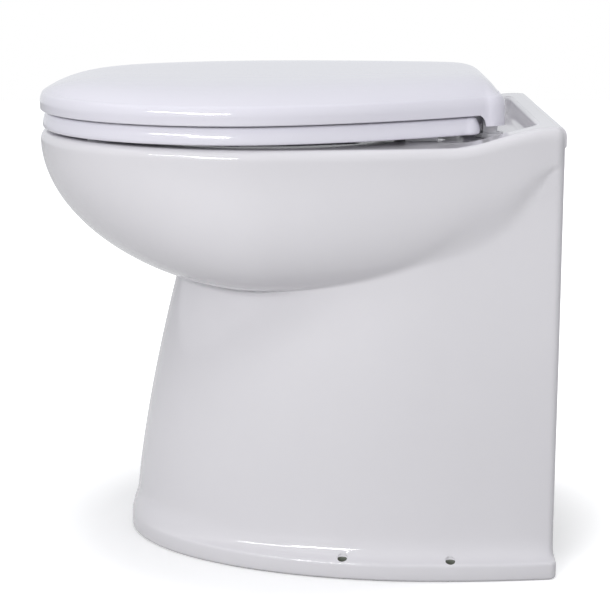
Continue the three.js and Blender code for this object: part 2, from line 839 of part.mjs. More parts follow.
function bowlInside(grow, drop, steps, shares) {
  const top = rimHeight - bowlStraightDepth;
  const loops = shares.map((share) => {
    const height = top - (top - sumpHeight) * share;
    return raisedLoop(bowlLoop(height, grow, steps), height - drop);
  });
  const mouth = bowlLoop(top, grow + openingEdge, steps);
  loops.push(raisedLoop(mouth, rimHeight), raisedLoop(mouth, borderTop));
  return loft(loops);
}

// The sunk part of the deck inside the raised border, where the hinges stand
function deckRecess() {
  const low = backY - recessForward;
  const high = backY - borderWidth;
  const halfWidth = deckWidth / 2 - borderWidth;
  const steps = 5;
  const outline = (inset) => {
    const half = [new THREE.Vector2(0, low), new THREE.Vector2(halfWidth - inset, low)];
    for (let i = 0; i <= steps; i += 1) {
      const angle = (i / steps) * Math.PI / 2;
      half.push(new THREE.Vector2(
        halfWidth - inset - borderCornerRadius * (1 - Math.cos(angle)),
        high - inset - borderCornerRadius * (1 - Math.sin(angle))));
    }
    half.push(new THREE.Vector2(0, high - inset));
    return half;
  };
  const loop = (inset, height) => {
    const half = outline(inset);
    const left = half.filter((point) => point.x > 0).reverse();
    return [...half, ...left.map((point) => new THREE.Vector2(-point.x, point.y))].map(
      (point) => new THREE.Vector3(point.x, point.y, height));
  };
  const draftShares = [1, 0.35, 0];
  const rows = draftShares.map((share) => loop(
    borderDraft * share * share, rimHeight + recessFloorLift + borderRise * (1 - share)));
  return loft([...rows, loop(0, borderTop + overrun)]);
}

const footHalfWidthAt = (y) => {
  const reach = pedestalWidestY - frontY - pedestalFrontInset + footFrontReach;
  const widest = pedestalBackHalfWidth + pedestalSideSwell + footSideReach;
  const share = Math.max(0, pedestalWidestY - y) / reach;
  return widest * Math.sqrt(1 - share * share);
};

function makeChina() {
  const outside = joined([bowlOutside(), pedestalOutside(), deckLip()]);
  const spigotRadius = outletBoreRadius + outletWall;
  const shownSteps = 30;
  const shownShares = [1, 0.96, 0.87, 0.75, 0.6, 0.42, 0.22, 0];
  const hiddenSteps = 16;
  const hiddenShares = [1, 0.94, 0.78, 0.55, 0.28, 0];
  const keptInside = bowlInside(bowlSkin, bowlSkin, hiddenSteps, hiddenShares).add(
    rodZ(spigotRadius, spigotEndHeight, sumpHeight + chinaWall, 0, outletY, largeSides));
  const hollow = pedestalHollow().subtract(keptInside);
  const door = roundedBox2D(
    -rearDoorWidth / 2, rearDoorWidth / 2, -rearDoorCorner * 2, rearDoorHeight, rearDoorCorner);
  const cutters = [
    hollow,
    bowlInside(0, 0, shownSteps, shownShares),
    rodZ(outletBoreRadius, spigotEndHeight - overrun, sumpHeight + overrun, 0, outletY, largeSides),
    prismY(door, wallBackY - chinaWall * 2, backY + overrun),
    deckRecess(),
    rodY(nozzleBodyRadius + gap, outletY, nozzleNutStart + chinaWall, 0, nozzleHeight),
  ];
  for (const side of [-1, 1]) {
    cutters.push(rodZ(hingeHoleRadius, pedestalTop - overrun, borderTop,
      side * hingeSpacing / 2, hingeY, smallSides));
    for (const y of [fixingHoleFrontY, fixingHoleBackY]) {
      cutters.push(rodZ(fixingHoleRadius, -overrun, footTopHeight + overrun,
        side * (footHalfWidthAt(y) - fixingHoleInset), y, smallSides));
    }
  }
  return cutBy(outside, cutters);
}

addPart('china_bowl', makeChina(), glazedChina);

// Seat ring, lid and their buffers, drawn lying flat and tilted together by the seat frame

function addSeatPart(name, solid, material) {
  addPart(name, solid.translate([0, -seatPivotY, 0]), material, seatFrame);
}

const lidLow = seatThickness + lidSeatGap;
const tiltAngle = Math.atan(seatTilt);
const hingeRun = hingeY - seatPivotY;
const hingeLift = hingeHeight - rimHeight - seatRimGap;
const hingeFlatY = seatPivotY + hingeRun * Math.cos(tiltAngle) + hingeLift * Math.sin(tiltAngle);
const hingeFlatZ = hingeLift * Math.cos(tiltAngle) - hingeRun * Math.sin(tiltAngle);

const planHalfWidthAt = (y) => {
  const share = Math.max(0, (y - seatWidestY) / (lidRearY - seatWidestY));
  return seatHalf - (seatHalf - seatRearHalfWidth) * share ** seatRearPower;
};

// The egg-shaped plan of the seat and the lid, cut off straight at the back
function seatPlan(inset, rearY, cornerRadius) {
  const frontSteps = 11;
  const sideSteps = 5;
  const cornerSteps = 3;
  const half = [];
  for (let i = 0; i < frontSteps; i += 1) {
    const angle = (i / frontSteps) * Math.PI / 2;
    half.push(new THREE.Vector2(
      seatHalf * Math.sin(angle), seatWidestY - seatFrontLength * Math.cos(angle)));
  }
  const endY = rearY - cornerRadius;
  for (let i = 0; i <= sideSteps; i += 1) {
    const y = seatWidestY + (endY - seatWidestY) * (i / sideSteps);
    half.push(new THREE.Vector2(planHalfWidthAt(y), y));
  }
  const endWidth = planHalfWidthAt(endY);
  for (let i = 1; i <= cornerSteps; i += 1) {
    const angle = (i / cornerSteps) * Math.PI / 2;
    half.push(new THREE.Vector2(
      endWidth - cornerRadius * (1 - Math.cos(angle)), endY + cornerRadius * Math.sin(angle)));
  }
  return insetLoop(mirroredLoop(half, 0), inset);
}

function seatHoleLoop(grow, height) {
  const steps = 26;
  const centre = seatPlanFront + seatHoleFrontBand + seatHoleLength / 2;
  return Array.from({ length: steps }, (_, i) => {
    const angle = (i / steps) * Math.PI * 2;
    return new THREE.Vector3((seatHoleHalfWidth + grow) * Math.cos(angle),
      centre + (seatHoleLength / 2 + grow) * Math.sin(angle), height);
  });
}

// A plate with a round barrel at the hinge line, between two places across the toilet
function hingeEar(outline, from, to) {
  const shape = new THREE.Shape();
  outline(shape);
  return prismX(shape, from, to);
}

function makeSeat() {
  const plan = (inset) => seatPlan(seatInset + inset, seatRearY + seatInset, seatCornerRadius);
  const edgeShares = [0, 0.4, 0.75, 1];
  const loops = [
    raisedLoop(plan(seatUnderEdge), 0),
    raisedLoop(plan(0), seatUnderEdge),
  ];
  for (const share of edgeShares) {
    const angle = share * Math.PI / 2;
    loops.push(raisedLoop(plan(seatEdgeRadius * (1 - Math.cos(angle))),
      seatThickness - seatEdgeRadius * (1 - Math.sin(angle))));
  }
  const edge = seatThickness - seatHoleEdge;
  const holeLoops = [seatHoleLoop(0, -overrun), seatHoleLoop(0, edge)];
  for (const share of edgeShares.slice(1)) {
    const angle = share * Math.PI / 2;
    holeLoops.push(seatHoleLoop(
      seatHoleEdge * (1 - Math.cos(angle)), edge + seatHoleEdge * Math.sin(angle)));
  }
  holeLoops.push(seatHoleLoop(seatHoleEdge, seatThickness + overrun));
  let seat = loft(loops).subtract(loft(holeLoops));
  const inner = hingeSpacing / 2 - postWidth / 2 - earSideGap;
  const webStart = seatRearY - seatEdgeRadius - seatUnderEdge;
  for (const side of [-1, 1]) {
    const outline = (shape) => {
      shape.moveTo(webStart, seatUnderEdge);
      shape.absarc(hingeFlatY, hingeFlatZ, barrelRadius, -Math.PI / 2, Math.PI / 2);
      shape.lineTo(webStart, seatThickness - gap);
    };
    const [from, to] = side > 0 ? [inner - earWidth, inner] : [-inner, earWidth - inner];
    const bore = rodX(pinRadius + gap, from - overrun, to + overrun, hingeFlatY, hingeFlatZ);
    seat = seat.add(hingeEar(outline, from, to)).subtract(bore);
  }
  return seat;
}

function makeLid() {
  const plan = (inset) => seatPlan(inset, lidRearY, lidCornerRadius);
  const shoulder = lidLow + lidSideHeight;
  const top = shoulder + lidShoulderHeight;
  const loops = [
    raisedLoop(plan(lidUnderEdge), lidLow),
    raisedLoop(plan(0), lidLow + lidUnderEdge),
  ];
  const edgeShares = [0, 0.35, 0.7, 1];
  for (const share of edgeShares) {
    const angle = share * Math.PI / 2;
    loops.push(raisedLoop(plan(lidShoulderWidth * (1 - Math.cos(angle))),
      shoulder + lidShoulderHeight * Math.sin(angle)));
  }
  const rim = loops.at(-1);
  const crownShares = [0.3, 0.65];
  const centreY = (seatPlanFront + lidRearY) / 2;
  for (const share of crownShares) {
    loops.push(rim.map((point) => new THREE.Vector3(point.x * (1 - share),
      centreY + (point.y - centreY) * (1 - share), top + lidCrown * (1 - (1 - share) ** 2))));
  }
  const ceiling = top - lidTopWall;
  const cavity = loft([
    raisedLoop(plan(lidWall), lidLow - lobeDrop - overrun),
    raisedLoop(plan(lidWall), shoulder - lidWall),
    raisedLoop(plan(lidWall + lidShoulderWidth / 3), ceiling - lidShoulderHeight / 3),
    raisedLoop(plan(lidWall + lidShoulderWidth), ceiling),
  ]);
  const skirt = loft([
    raisedLoop(plan(0), lidLow - lobeDrop),
    raisedLoop(plan(0), shoulder),
  ]);
  const lobe = new THREE.Shape();
  const lobeFront = lidRearY - lobeLength;
  lobe.moveTo(lidRearY + overrun, lidLow - lobeDrop);
  lobe.lineTo(lidRearY + overrun, shoulder);
  lobe.lineTo(lobeFront - lobeSlant, shoulder);
  lobe.lineTo(lobeFront - lobeSlant, lidLow);
  lobe.quadraticCurveTo(lobeFront, lidLow - lobeDrop / 3, lobeFront, lidLow - lobeDrop);
  const lobes = skirt.intersect(prismX(lobe, -seatHalf, seatHalf));
  let lid = loft(loops).add(lobes).subtract(cavity);
  const postHalf = postWidth / 2;
  for (const side of [-1, 1]) {
    const middle = side * hingeSpacing / 2;
    const notch = block(middle - postHalf - notchClearance, middle + postHalf + notchClearance,
      hingeFlatY - barrelRadius - notchClearance, lidRearY + overrun,
      lidLow - lobeDrop - overrun, hingeFlatZ + barrelRadius + notchClearance);
    const outline = (shape) => {
      shape.moveTo(hingeFlatY + barrelRadius, ceiling + gap);
      shape.lineTo(hingeFlatY - barrelRadius, ceiling + gap);
      shape.absarc(hingeFlatY, hingeFlatZ, barrelRadius, Math.PI, Math.PI * 2);
    };
    const outer = hingeSpacing / 2 + postHalf + earSideGap;
    const [from, to] = side > 0 ? [outer, outer + earWidth] : [-outer - earWidth, -outer];
    const bore = rodX(pinRadius + gap, from - overrun, to + overrun, hingeFlatY, hingeFlatZ);
    lid = lid.subtract(notch).add(hingeEar(outline, from, to)).subtract(bore);
  }
  const bosses = lidBufferPlaces.map(([x, y]) => rodZ(
    lidBufferRadius + lidBossWall, lidLow + lidBufferHeight, ceiling + gap, x, y, smallSides));
  return joined([lid, ...bosses]);
}

const lidBufferPlaces = [[-lidBufferFrontX, lidBufferFrontY], [lidBufferFrontX, lidBufferFrontY]];
const seatBufferPlaces = {
  front_left: [-bufferFrontX, bufferFrontY],
  front_right: [bufferFrontX, bufferFrontY],
  rear_left: [-bufferRearX, bufferRearY],
  rear_right: [bufferRearX, bufferRearY],
};

function makeSeatBuffer([x, y]) {
  const height = seatRimGap + seatTilt * (y - seatPivotY) - gap;
  return block(x - bufferWidth / 2, x + bufferWidth / 2,
    y - bufferLength / 2, y + bufferLength / 2, -height, -gap);
}

function makeLidBuffer([x, y]) {
  return rodZ(lidBufferRadius, seatThickness + gap, lidLow + lidBufferHeight - gap, x, y, smallSides);
}

addSeatPart('seat_ring', makeSeat(), mouldedSeat);
addSeatPart('lid', makeLid(), mouldedSeat);
for (const [name, place] of Object.entries(seatBufferPlaces)) {
  addSeatPart(`seat_buffer_${name}`, makeSeatBuffer(place), paleRubber);
}
addSeatPart('lid_buffer_left', makeLidBuffer(lidBufferPlaces[0]), paleRubber);
addSeatPart('lid_buffer_right', makeLidBuffer(lidBufferPlaces[1]), paleRubber);

// Hinges: a post on each side of the deck, its pin, and the bolt and wing nut below the deck

function makePost(middle) {
  const low = rimHeight + recessFloorLift + gap;
  const post = joined([
    rodZ(postBaseRadius, low, low + postBaseHeight, middle, hingeY),
    block(middle - postWidth / 2, middle + postWidth / 2,
      hingeY - barrelRadius, hingeY + barrelRadius, low, hingeHeight),
    rodX(barrelRadius, middle - postWidth / 2, middle + postWidth / 2, hingeY, hingeHeight),
  ]);
  return cutBy(post, [
    rodX(pinRadius + gap, middle - postWidth, middle + postWidth, hingeY, hingeHeight),
    rodZ(hingeBoltRadius + gap, low - overrun, low + hingeBoltEngagement, middle, hingeY, smallSides),
  ]);
}

function makePin(middle) {
  const reach = postWidth / 2 + earSideGap + earWidth + gap;
  const [low, high] = [middle - reach, middle + reach];
  return joined([
    rodX(pinRadius, low - pinHeadLength, high + pinHeadLength, hingeY, hingeHeight),
    rodX(pinHeadRadius, low - pinHeadLength, low, hingeY, hingeHeight),
    rodX(pinHeadRadius, high, high + pinHeadLength, hingeY, hingeHeight),
  ]);
}

function makeHingeNut(middle) {
  const top = pedestalTop - gap;
  const nut = joined([
    rodZ(hingeNutFlangeRadius, top - hingeNutFlangeThickness, top, middle, hingeY),
    rodZ(hingeNutRadius, top - hingeNutHeight, top, middle, hingeY, 6),
    block(middle - hingeNutWing, middle + hingeNutWing, hingeY - hingeNutWingWidth / 2,
      hingeY + hingeNutWingWidth / 2, top - hingeNutHeight, top - hingeNutHeight / 3),
  ]);
  return nut.subtract(rodZ(
    hingeBoltRadius + gap, top - hingeNutHeight - overrun, top + overrun, middle, hingeY, smallSides));
}

const hingeSides = { left: -1, right: 1 };
const boltTop = rimHeight + hingeBoltEngagement;
for (const [name, side] of Object.entries(hingeSides)) {
  const middle = side * hingeSpacing / 2;
  addPart(`${name}_hinge_post`, makePost(middle), whitePlastic);
  addPart(`${name}_hinge_pin`, makePin(middle), stainless);
  addPart(`${name}_hinge_bolt`, rodZ(
    hingeBoltRadius, boltTop - hingeBoltLength, boltTop, middle, hingeY, smallSides), stainless);
  addPart(`${name}_hinge_nut`, makeHingeNut(middle), whitePlastic);
}

// Macerator pump: rubber seal, inlet elbow, housing, seal plate and what turns on the shaft

const elbowEndY = outletY + elbowRadius;
const housingStart = elbowEndY + flangeThickness + gap;
const housingEnd = housingStart + housingLength;
const plateEnd = housingEnd + gap + sealPlateThickness;
const housingRadius = housingBoreRadius + housingWall;
const screwPlaces = aroundAxis(
  housingScrewCount, housingScrewCircle, housingScrewStart, 0, pumpAxisHeight);
const screwHoles = () => screwPlaces.map(([x, z]) => rodY(
  housingScrewRadius + gap, elbowEndY - overrun, plateEnd + overrun, x, z, smallSides));

function makeOutletSeal() {
  const low = socketFloor + gap;
  const top = elbowTop + socketDepth + gap;
  const inner = spigotRadius + gap;
  return turnedZ([[inner, low], [sealRadius, low], [sealRadius, top],
    [sealRadius + sealLip, top], [sealRadius + sealLip, top + sealLipHeight],
    [inner, top + sealLipHeight]], 0, outletY);
}

function makeInletElbow() {
  const outside = joined([
    bend(elbowBoreRadius + elbowWall, elbowRadius, outletY, elbowTop, 0, -1, elbowSteps),
    rodZ(socketRadius, elbowTop - elbowTopFloor, elbowTop + socketDepth, 0, outletY, largeSides),
    rodY(flangeRadius, elbowEndY, elbowEndY + flangeThickness, 0, pumpAxisHeight, largeSides),
  ]);
  return cutBy(outside, [
    rodZ(sealRadius + gap, socketFloor, elbowTop + socketDepth + overrun, 0, outletY, largeSides),
    rodZ(elbowBoreRadius, elbowTop, socketFloor + overrun, 0, outletY),
    bend(elbowBoreRadius, elbowRadius, outletY, elbowTop, 0, -1, elbowSteps),
    rodY(elbowBoreRadius, elbowEndY, elbowEndY + flangeThickness + overrun, 0, pumpAxisHeight),
    ...screwHoles(),
  ]);
}

const dischargeY = (housingStart + housingEnd) / 2;
const dischargeRadius = dischargeBoreRadius + dischargeWall;

function makeHousing() {
  const barrel = turnedY([
    [0, housingStart], [flangeRadius, housingStart],
    [flangeRadius, housingStart + housingFlangeThickness],
    [housingRadius, housingStart + housingFlangeThickness],
    [housingRadius, housingEnd - housingFlangeThickness],
    [flangeRadius, housingEnd - housingFlangeThickness], [flangeRadius, housingEnd], [0, housingEnd],
  ], 0, pumpAxisHeight);
  const port = rodZ(dischargeRadius, pumpAxisHeight, dischargePortTop, dischargeX, dischargeY);
  return cutBy(barrel.add(port), [
    rodY(housingBoreRadius, housingStart - overrun, housingEnd + overrun, 0, pumpAxisHeight, largeSides),
    rodZ(dischargeBoreRadius, pumpAxisHeight, dischargePortTop + overrun, dischargeX, dischargeY),
    ...screwHoles(),
  ]);
}

function makeSealPlate() {
  const low = housingEnd + gap;
  return cutBy(rodY(flangeRadius, low, plateEnd, 0, pumpAxisHeight, largeSides), [
    rodY(shaftSealRadius + gap, low - overrun, low + shaftSealLength + gap, 0, pumpAxisHeight),
    rodY(shaftRadius + gap, low, plateEnd + overrun, 0, pumpAxisHeight),
    ...screwHoles(),
  ]);
}

function makeHousingScrew([x, z]) {
  return rodY(housingScrewRadius, elbowEndY - gap, plateEnd - overrun, x, z, smallSides).add(
    rodY(screwHeadRadius, elbowEndY - gap - screwHeadHeight, elbowEndY - gap, x, z, 6));
}

const bladeStart = housingStart + bladeHubStart;
const bladeLow = bladeStart + bladeHubLength - bladeThickness;
const wearLow = bladeStart + bladeHubLength + wearPlateGap;
const vaneLow = wearLow + wearPlateThickness + wearPlateGap;
const discLow = vaneLow + impellerVaneHeight;

// Two-armed cutting blade on its hub, with the arms drawn in towards their tips
function makeBlade() {
  const arm = new THREE.Shape();
  arm.moveTo(-bladeRadius, -bladeTipHalfWidth);
  arm.lineTo(0, -bladeRootHalfWidth);
  arm.lineTo(bladeRadius, -bladeTipHalfWidth);
  arm.lineTo(bladeRadius, bladeTipHalfWidth / 2);
  arm.lineTo(0, bladeRootHalfWidth);
  arm.lineTo(-bladeRadius, bladeTipHalfWidth / 2);
  const arms = prismY(arm, bladeLow, bladeStart + bladeHubLength);
  return cutBy(
    arms.translate([0, 0, pumpAxisHeight]).add(
      rodY(bladeHubRadius, bladeStart, bladeStart + bladeHubLength, 0, pumpAxisHeight)),
    [rodY(shaftRadius + gap, bladeStart - overrun, wearLow, 0, pumpAxisHeight)]);
}

function makeWearPlate() {
  const high = wearLow + wearPlateThickness;
  const slots = aroundAxis(wearSlotCount, wearSlotCircle, 0, 0, pumpAxisHeight);
  return cutBy(rodY(housingBoreRadius - gap, wearLow, high, 0, pumpAxisHeight, largeSides), [
    rodY(wearEyeRadius, wearLow - overrun, high + overrun, 0, pumpAxisHeight),
    ...slots.map(([x, z]) => rodY(wearSlotRadius, wearLow - overrun, high + overrun, x, z, smallSides)),
  ]);
}

// Open impeller: swept vanes on a disc, with the hub behind
function makeImpeller() {
  const high = discLow + impellerDiscThickness;
  const hubBack = high + impellerDiscThickness;
  const solids = [
    rodY(impellerRadius, discLow, high, 0, pumpAxisHeight, largeSides),
    rodY(impellerHubRadius, vaneLow, hubBack, 0, pumpAxisHeight),
  ];
  for (let i = 0; i < impellerVaneCount; i += 1) {
    const vane = new THREE.Shape();
    vane.absarc(0, impellerRadius / 2, impellerRadius / 2, -Math.PI / 2, Math.PI / 2);
    vane.lineTo(0, impellerRadius - impellerVaneThickness);
    vane.absarc(0, impellerRadius / 2, impellerRadius / 2 - impellerVaneThickness,
      Math.PI / 2, -Math.PI / 2, true);
    const geometry = new THREE.ExtrudeGeometry(
      vane, { depth: impellerVaneHeight + gap, bevelEnabled: false, curveSegments: curveSteps });
    geometry.rotateX(Math.PI / 2).translate(0, vaneLow + impellerVaneHeight + gap, 0);
    geometry.rotateY((i / impellerVaneCount) * Math.PI * 2).translate(0, 0, pumpAxisHeight);
    solids.push(solidOf(geometry));
  }
  return joined(solids).subtract(
    rodY(shaftRadius + gap, vaneLow - overrun, hubBack + overrun, 0, pumpAxisHeight));
}

addPart('bowl_outlet_seal', makeOutletSeal(), blackRubber);
addPart('inlet_elbow', makeInletElbow(), pumpPlastic);
addPart('macerator_housing', makeHousing(), pumpPlastic);
addPart('seal_plate', makeSealPlate(), pumpPlastic);
screwPlaces.forEach((place, i) => {
  addPart(`housing_screw_${i + 1}`, makeHousingScrew(place), stainless);
});
addPart('chopper_blade', makeBlade(), stainless);
addPart('wear_plate', makeWearPlate(), stainless);
addPart('impeller', makeImpeller(), pumpPlastic);
addPart('shaft_seal', ringY(shaftRadius + gap, shaftSealRadius, housingEnd + gap,
  housingEnd + shaftSealLength, 0, pumpAxisHeight, middleSides), blackRubber);

// Direct-current motor: can, magnets, shaft, armature, commutator, brushes, bearings, end cap

const motorLow = plateEnd + gap;
const motorHigh = motorLow + motorLength;
const motorInner = motorRadius - motorCanWall;
const bearingBore = bearingRadius + gap;
const bearingHub = bearingBore + motorCanWall;
const armatureLow = (motorLow + motorHigh - armatureLength) / 2 - windingLength;
const armatureHigh = armatureLow + armatureLength;
const commutatorLow = armatureHigh + windingLength + gap;
const commutatorHigh = commutatorLow + commutatorLength;
const endCapLow = motorHigh + gap;
const endCapHigh = endCapLow + endCapLength;
const endFloor = endCapHigh - endCapFloor;

function makeMotorCan() {
  const floor = motorLow + motorCanWall;
  const hubEnd = motorLow + bearingLength + motorCanWall;
  return turnedY([
    [bearingBore, motorLow], [motorRadius, motorLow], [motorRadius, motorHigh],
    [motorInner, motorHigh], [motorInner, floor], [bearingHub, floor], [bearingHub, hubEnd],
    [bearingBore, hubEnd],
  ], 0, pumpAxisHeight);
}

// Rear cover of the motor with its bearing seat, the moulded boxes of the brushes and the cable hole
function makeEndCap() {
  const hubLow = endFloor - bearingLength;
  const cap = turnedY([
    [motorInner, endCapLow], [motorRadius, endCapLow], [motorRadius, endCapHigh - endCapEdge],
    [motorRadius - endCapEdge, endCapHigh], [0, endCapHigh], [0, endFloor], [bearingBore, endFloor],
    [bearingBore, hubLow], [bearingHub, hubLow], [bearingHub, endFloor], [motorInner, endFloor],
  ], 0, pumpAxisHeight);
  const middle = (commutatorLow + commutatorHigh) / 2;
  const boxEnd = commutatorRadius + gap + brushLength;
  const boxHalf = brushHeight / 2 + gap + motorCanWall;
  const solids = [cap];
  const cutters = [rodY(glandRadius + gap, endFloor - overrun, endCapHigh + overrun,
    0, pumpAxisHeight + glandHeight, smallSides)];
  for (const side of [-1, 1]) {
    solids.push(block(...across(side, boxEnd - brushLength / 2, motorInner - motorCanWall),
      middle - brushWidth / 2 - motorCanWall, endFloor + gap,
      pumpAxisHeight - boxHalf, pumpAxisHeight + boxHalf));
    cutters.push(block(...across(side, commutatorRadius, boxEnd + gap),
      middle - brushWidth / 2 - gap, middle + brushWidth / 2 + gap,
      pumpAxisHeight - brushHeight / 2 - gap, pumpAxisHeight + brushHeight / 2 + gap));
  }
  return cutBy(joined(solids), cutters);
}

// Slotted core of the armature with the end turns of its winding
function makeArmature() {
  const shape = new THREE.Shape();
  const floorRadius = armatureRadius - armatureSlotDepth;
  const pitch = (Math.PI * 2) / armatureSlotCount;
  for (let i = 0; i < armatureSlotCount; i += 1) {
    const start = i * pitch;
    const slotStart = start + pitch * (1 - armatureSlotShare);
    for (const [radius, angle] of [[armatureRadius, start],
      [armatureRadius, (start + slotStart) / 2], [armatureRadius, slotStart],
      [floorRadius, slotStart], [floorRadius, start + pitch]]) {
      const [x, y] = [radius * Math.cos(angle), radius * Math.sin(angle)];
      if (i === 0 && angle === start) shape.moveTo(x, y);
      else shape.lineTo(x, y);
    }
  }
  const core = prismY(shape, armatureLow, armatureHigh).translate([0, 0, pumpAxisHeight]);
  const edge = windingLength / 3;
  const endTurns = (face, away) => turnedY([
    [0, face - away * gap], [windingRadius, face - away * gap], [windingRadius, face + away * edge * 2],
    [windingRadius - edge, face + away * windingLength], [0, face + away * windingLength],
  ], 0, pumpAxisHeight, middleSides);
  return joined([core, endTurns(armatureLow, -1), endTurns(armatureHigh, 1)]).subtract(
    rodY(shaftRadius + gap, motorLow, motorHigh, 0, pumpAxisHeight));
}

function makeBrush(side) {
  const middle = (commutatorLow + commutatorHigh) / 2;
  const near = commutatorRadius + gap;
  return block(...across(side, near, near + brushLength),
    middle - brushWidth / 2, middle + brushWidth / 2,
    pumpAxisHeight - brushHeight / 2, pumpAxisHeight + brushHeight / 2);
}

function makeGland() {
  const height = pumpAxisHeight + glandHeight;
  const low = endFloor + gap;
  const nutLow = endCapHigh + gap;
  return joined([
    rodY(glandRadius, low, nutLow + glandLength, 0, height, smallSides),
    rodY(glandNutRadius, nutLow, nutLow + glandNutLength, 0, height, 6),
  ]).subtract(rodY(
    glandBoreRadius, low - overrun, endCapHigh + glandLength + overrun, 0, height, smallSides));
}

addPart('motor_shaft', rodY(
  shaftRadius, bladeStart - overrun, endFloor - gap, 0, pumpAxisHeight), stainless);
addPart('armature', makeArmature(), copper);
addPart('commutator', ringY(shaftRadius + gap, commutatorRadius, commutatorLow + gap, commutatorHigh,
  0, pumpAxisHeight, middleSides), copper);
addPart('field_magnet', ringY(motorInner - gap - magnetThickness, motorInner - gap,
  armatureLow, armatureHigh, 0, pumpAxisHeight, largeSides), magnetGrey);
addPart('carbon_brush_left', makeBrush(-1), carbon);
addPart('carbon_brush_right', makeBrush(1), carbon);
addPart('front_bearing', ringY(shaftRadius + gap, bearingRadius, motorLow + gap,
  motorLow + bearingLength, 0, pumpAxisHeight, middleSides), stainless);
addPart('rear_bearing', ringY(shaftRadius + gap, bearingRadius, endFloor - bearingLength,
  endFloor - gap, 0, pumpAxisHeight, middleSides), stainless);
addPart('motor_can', makeMotorCan(), motorPaint);
addPart('motor_end_cap', makeEndCap(), motorPaint);
addPart('cable_gland', makeGland(), blackRubber);

// Pump base on rubber strips, with a saddle and a strap round the motor

const plateLow = rubberStripHeight + gap;
const plateHigh = plateLow + plateThickness;
const saddleTop = pumpAxisHeight - saddleBelowAxis;
const strapY = saddleFrontY + (saddleLength - strapWidth) / 2;
const strapScrewX = saddleHalfWidth - strapTab / 2;
const strapScrewY = strapY + strapWidth / 2;

function makePumpBase() {
  const base = joined([
    block(-plateValveReach, plateHalfWidth, plateFrontY, plateBackY, plateLow, plateHigh),
    block(-saddleHalfWidth, saddleHalfWidth, saddleFrontY, saddleFrontY + saddleLength,
      plateLow, saddleTop),
  ]);
  return cutBy(base, [
    rodY(motorRadius + gap, plateFrontY - overrun, plateBackY + overrun, 0, pumpAxisHeight, largeSides),
    ...[-strapScrewX, strapScrewX].map((x) => rodZ(strapScrewRadius + gap,
      saddleTop - strapScrewDepth - overrun, saddleTop + overrun, x, strapScrewY, smallSides)),
  ]);
}

function makeStrap() {
  const low = saddleTop + gap;
  const [from, to] = [strapY, strapY + strapWidth];
  const inner = motorRadius + gap;
  const band = ringY(inner, inner + strapThickness, from, to, 0, pumpAxisHeight).subtract(
    block(-flangeRadius, flangeRadius, from - overrun, to + overrun, 0, low));
  const tabs = [-1, 1].map((side) => block(
    ...across(side, motorRadius - strapThickness, saddleHalfWidth), from, to, low, low + strapThickness));
  const core = rodY(inner, from - overrun, to + overrun, 0, pumpAxisHeight, largeSides);
  return cutBy(joined([band, ...tabs]), [core, ...[-strapScrewX, strapScrewX].map((x) => rodZ(
    strapScrewRadius + gap, low - overrun, low + strapThickness + overrun, x, strapScrewY, smallSides))]);
}

function makeStrapScrew(x) {
  const seat = saddleTop + gap + strapThickness + gap;
  return rodZ(strapScrewRadius, saddleTop - strapScrewDepth, seat, x, strapScrewY, smallSides).add(
    rodZ(screwHeadRadius, seat, seat + screwHeadHeight, x, strapScrewY, 6));
}

const makeRubberStrip = (y) => block(
  -plateValveReach, plateHalfWidth, y, y + rubberStripWidth, 0, rubberStripHeight);

addPart('pump_base', makePumpBase(), motorPaint);
addPart('motor_strap', makeStrap(), stainless);
addPart('strap_screw_left', makeStrapScrew(-strapScrewX), stainless);
addPart('strap_screw_right', makeStrapScrew(strapScrewX), stainless);
addPart('front_rubber_strip', makeRubberStrip(plateFrontY), blackRubber);
addPart('back_rubber_strip', makeRubberStrip(plateBackY - rubberStripWidth), blackRubber);

// Discharge line: elbow on the pump's port, rubber non-return valve and the hose tail

const elbowLow = dischargePortTop + gap;
const dischargeHeight = elbowLow + dischargeElbowRadius;
const dischargeElbowEnd = dischargeY + dischargeElbowRadius;
const jokerLow = dischargeElbowEnd + dischargeFlangeThickness + gap;
const tailLow = jokerLow + jokerFlangeThickness + gap;
function makeDischargeElbow() {
  const sleeve = dischargeRadius + gap + dischargeSleeveWall;
  const outside = joined([
    bend(dischargeRadius, dischargeElbowRadius, dischargeY, elbowLow, dischargeX, 1, elbowSteps),
    rodZ(sleeve, elbowLow - dischargeSleeveLength, elbowLow + dischargeSleeveFloor, dischargeX, dischargeY),
    rodY(dischargeFlangeRadius, dischargeElbowEnd, dischargeElbowEnd + dischargeFlangeThickness,
      dischargeX, dischargeHeight),
  ]);
  return cutBy(outside, [
    rodZ(dischargeRadius + gap, elbowLow - dischargeSleeveLength - overrun, elbowLow,
      dischargeX, dischargeY),
    rodZ(dischargeBoreRadius, elbowLow - overrun, elbowLow + gap, dischargeX, dischargeY),
    bend(dischargeBoreRadius, dischargeElbowRadius, dischargeY, elbowLow, dischargeX, 1, elbowSteps),
    rodY(dischargeBoreRadius, dischargeElbowEnd, dischargeElbowEnd + dischargeFlangeThickness + overrun,
      dischargeX, dischargeHeight),
  ]);
}

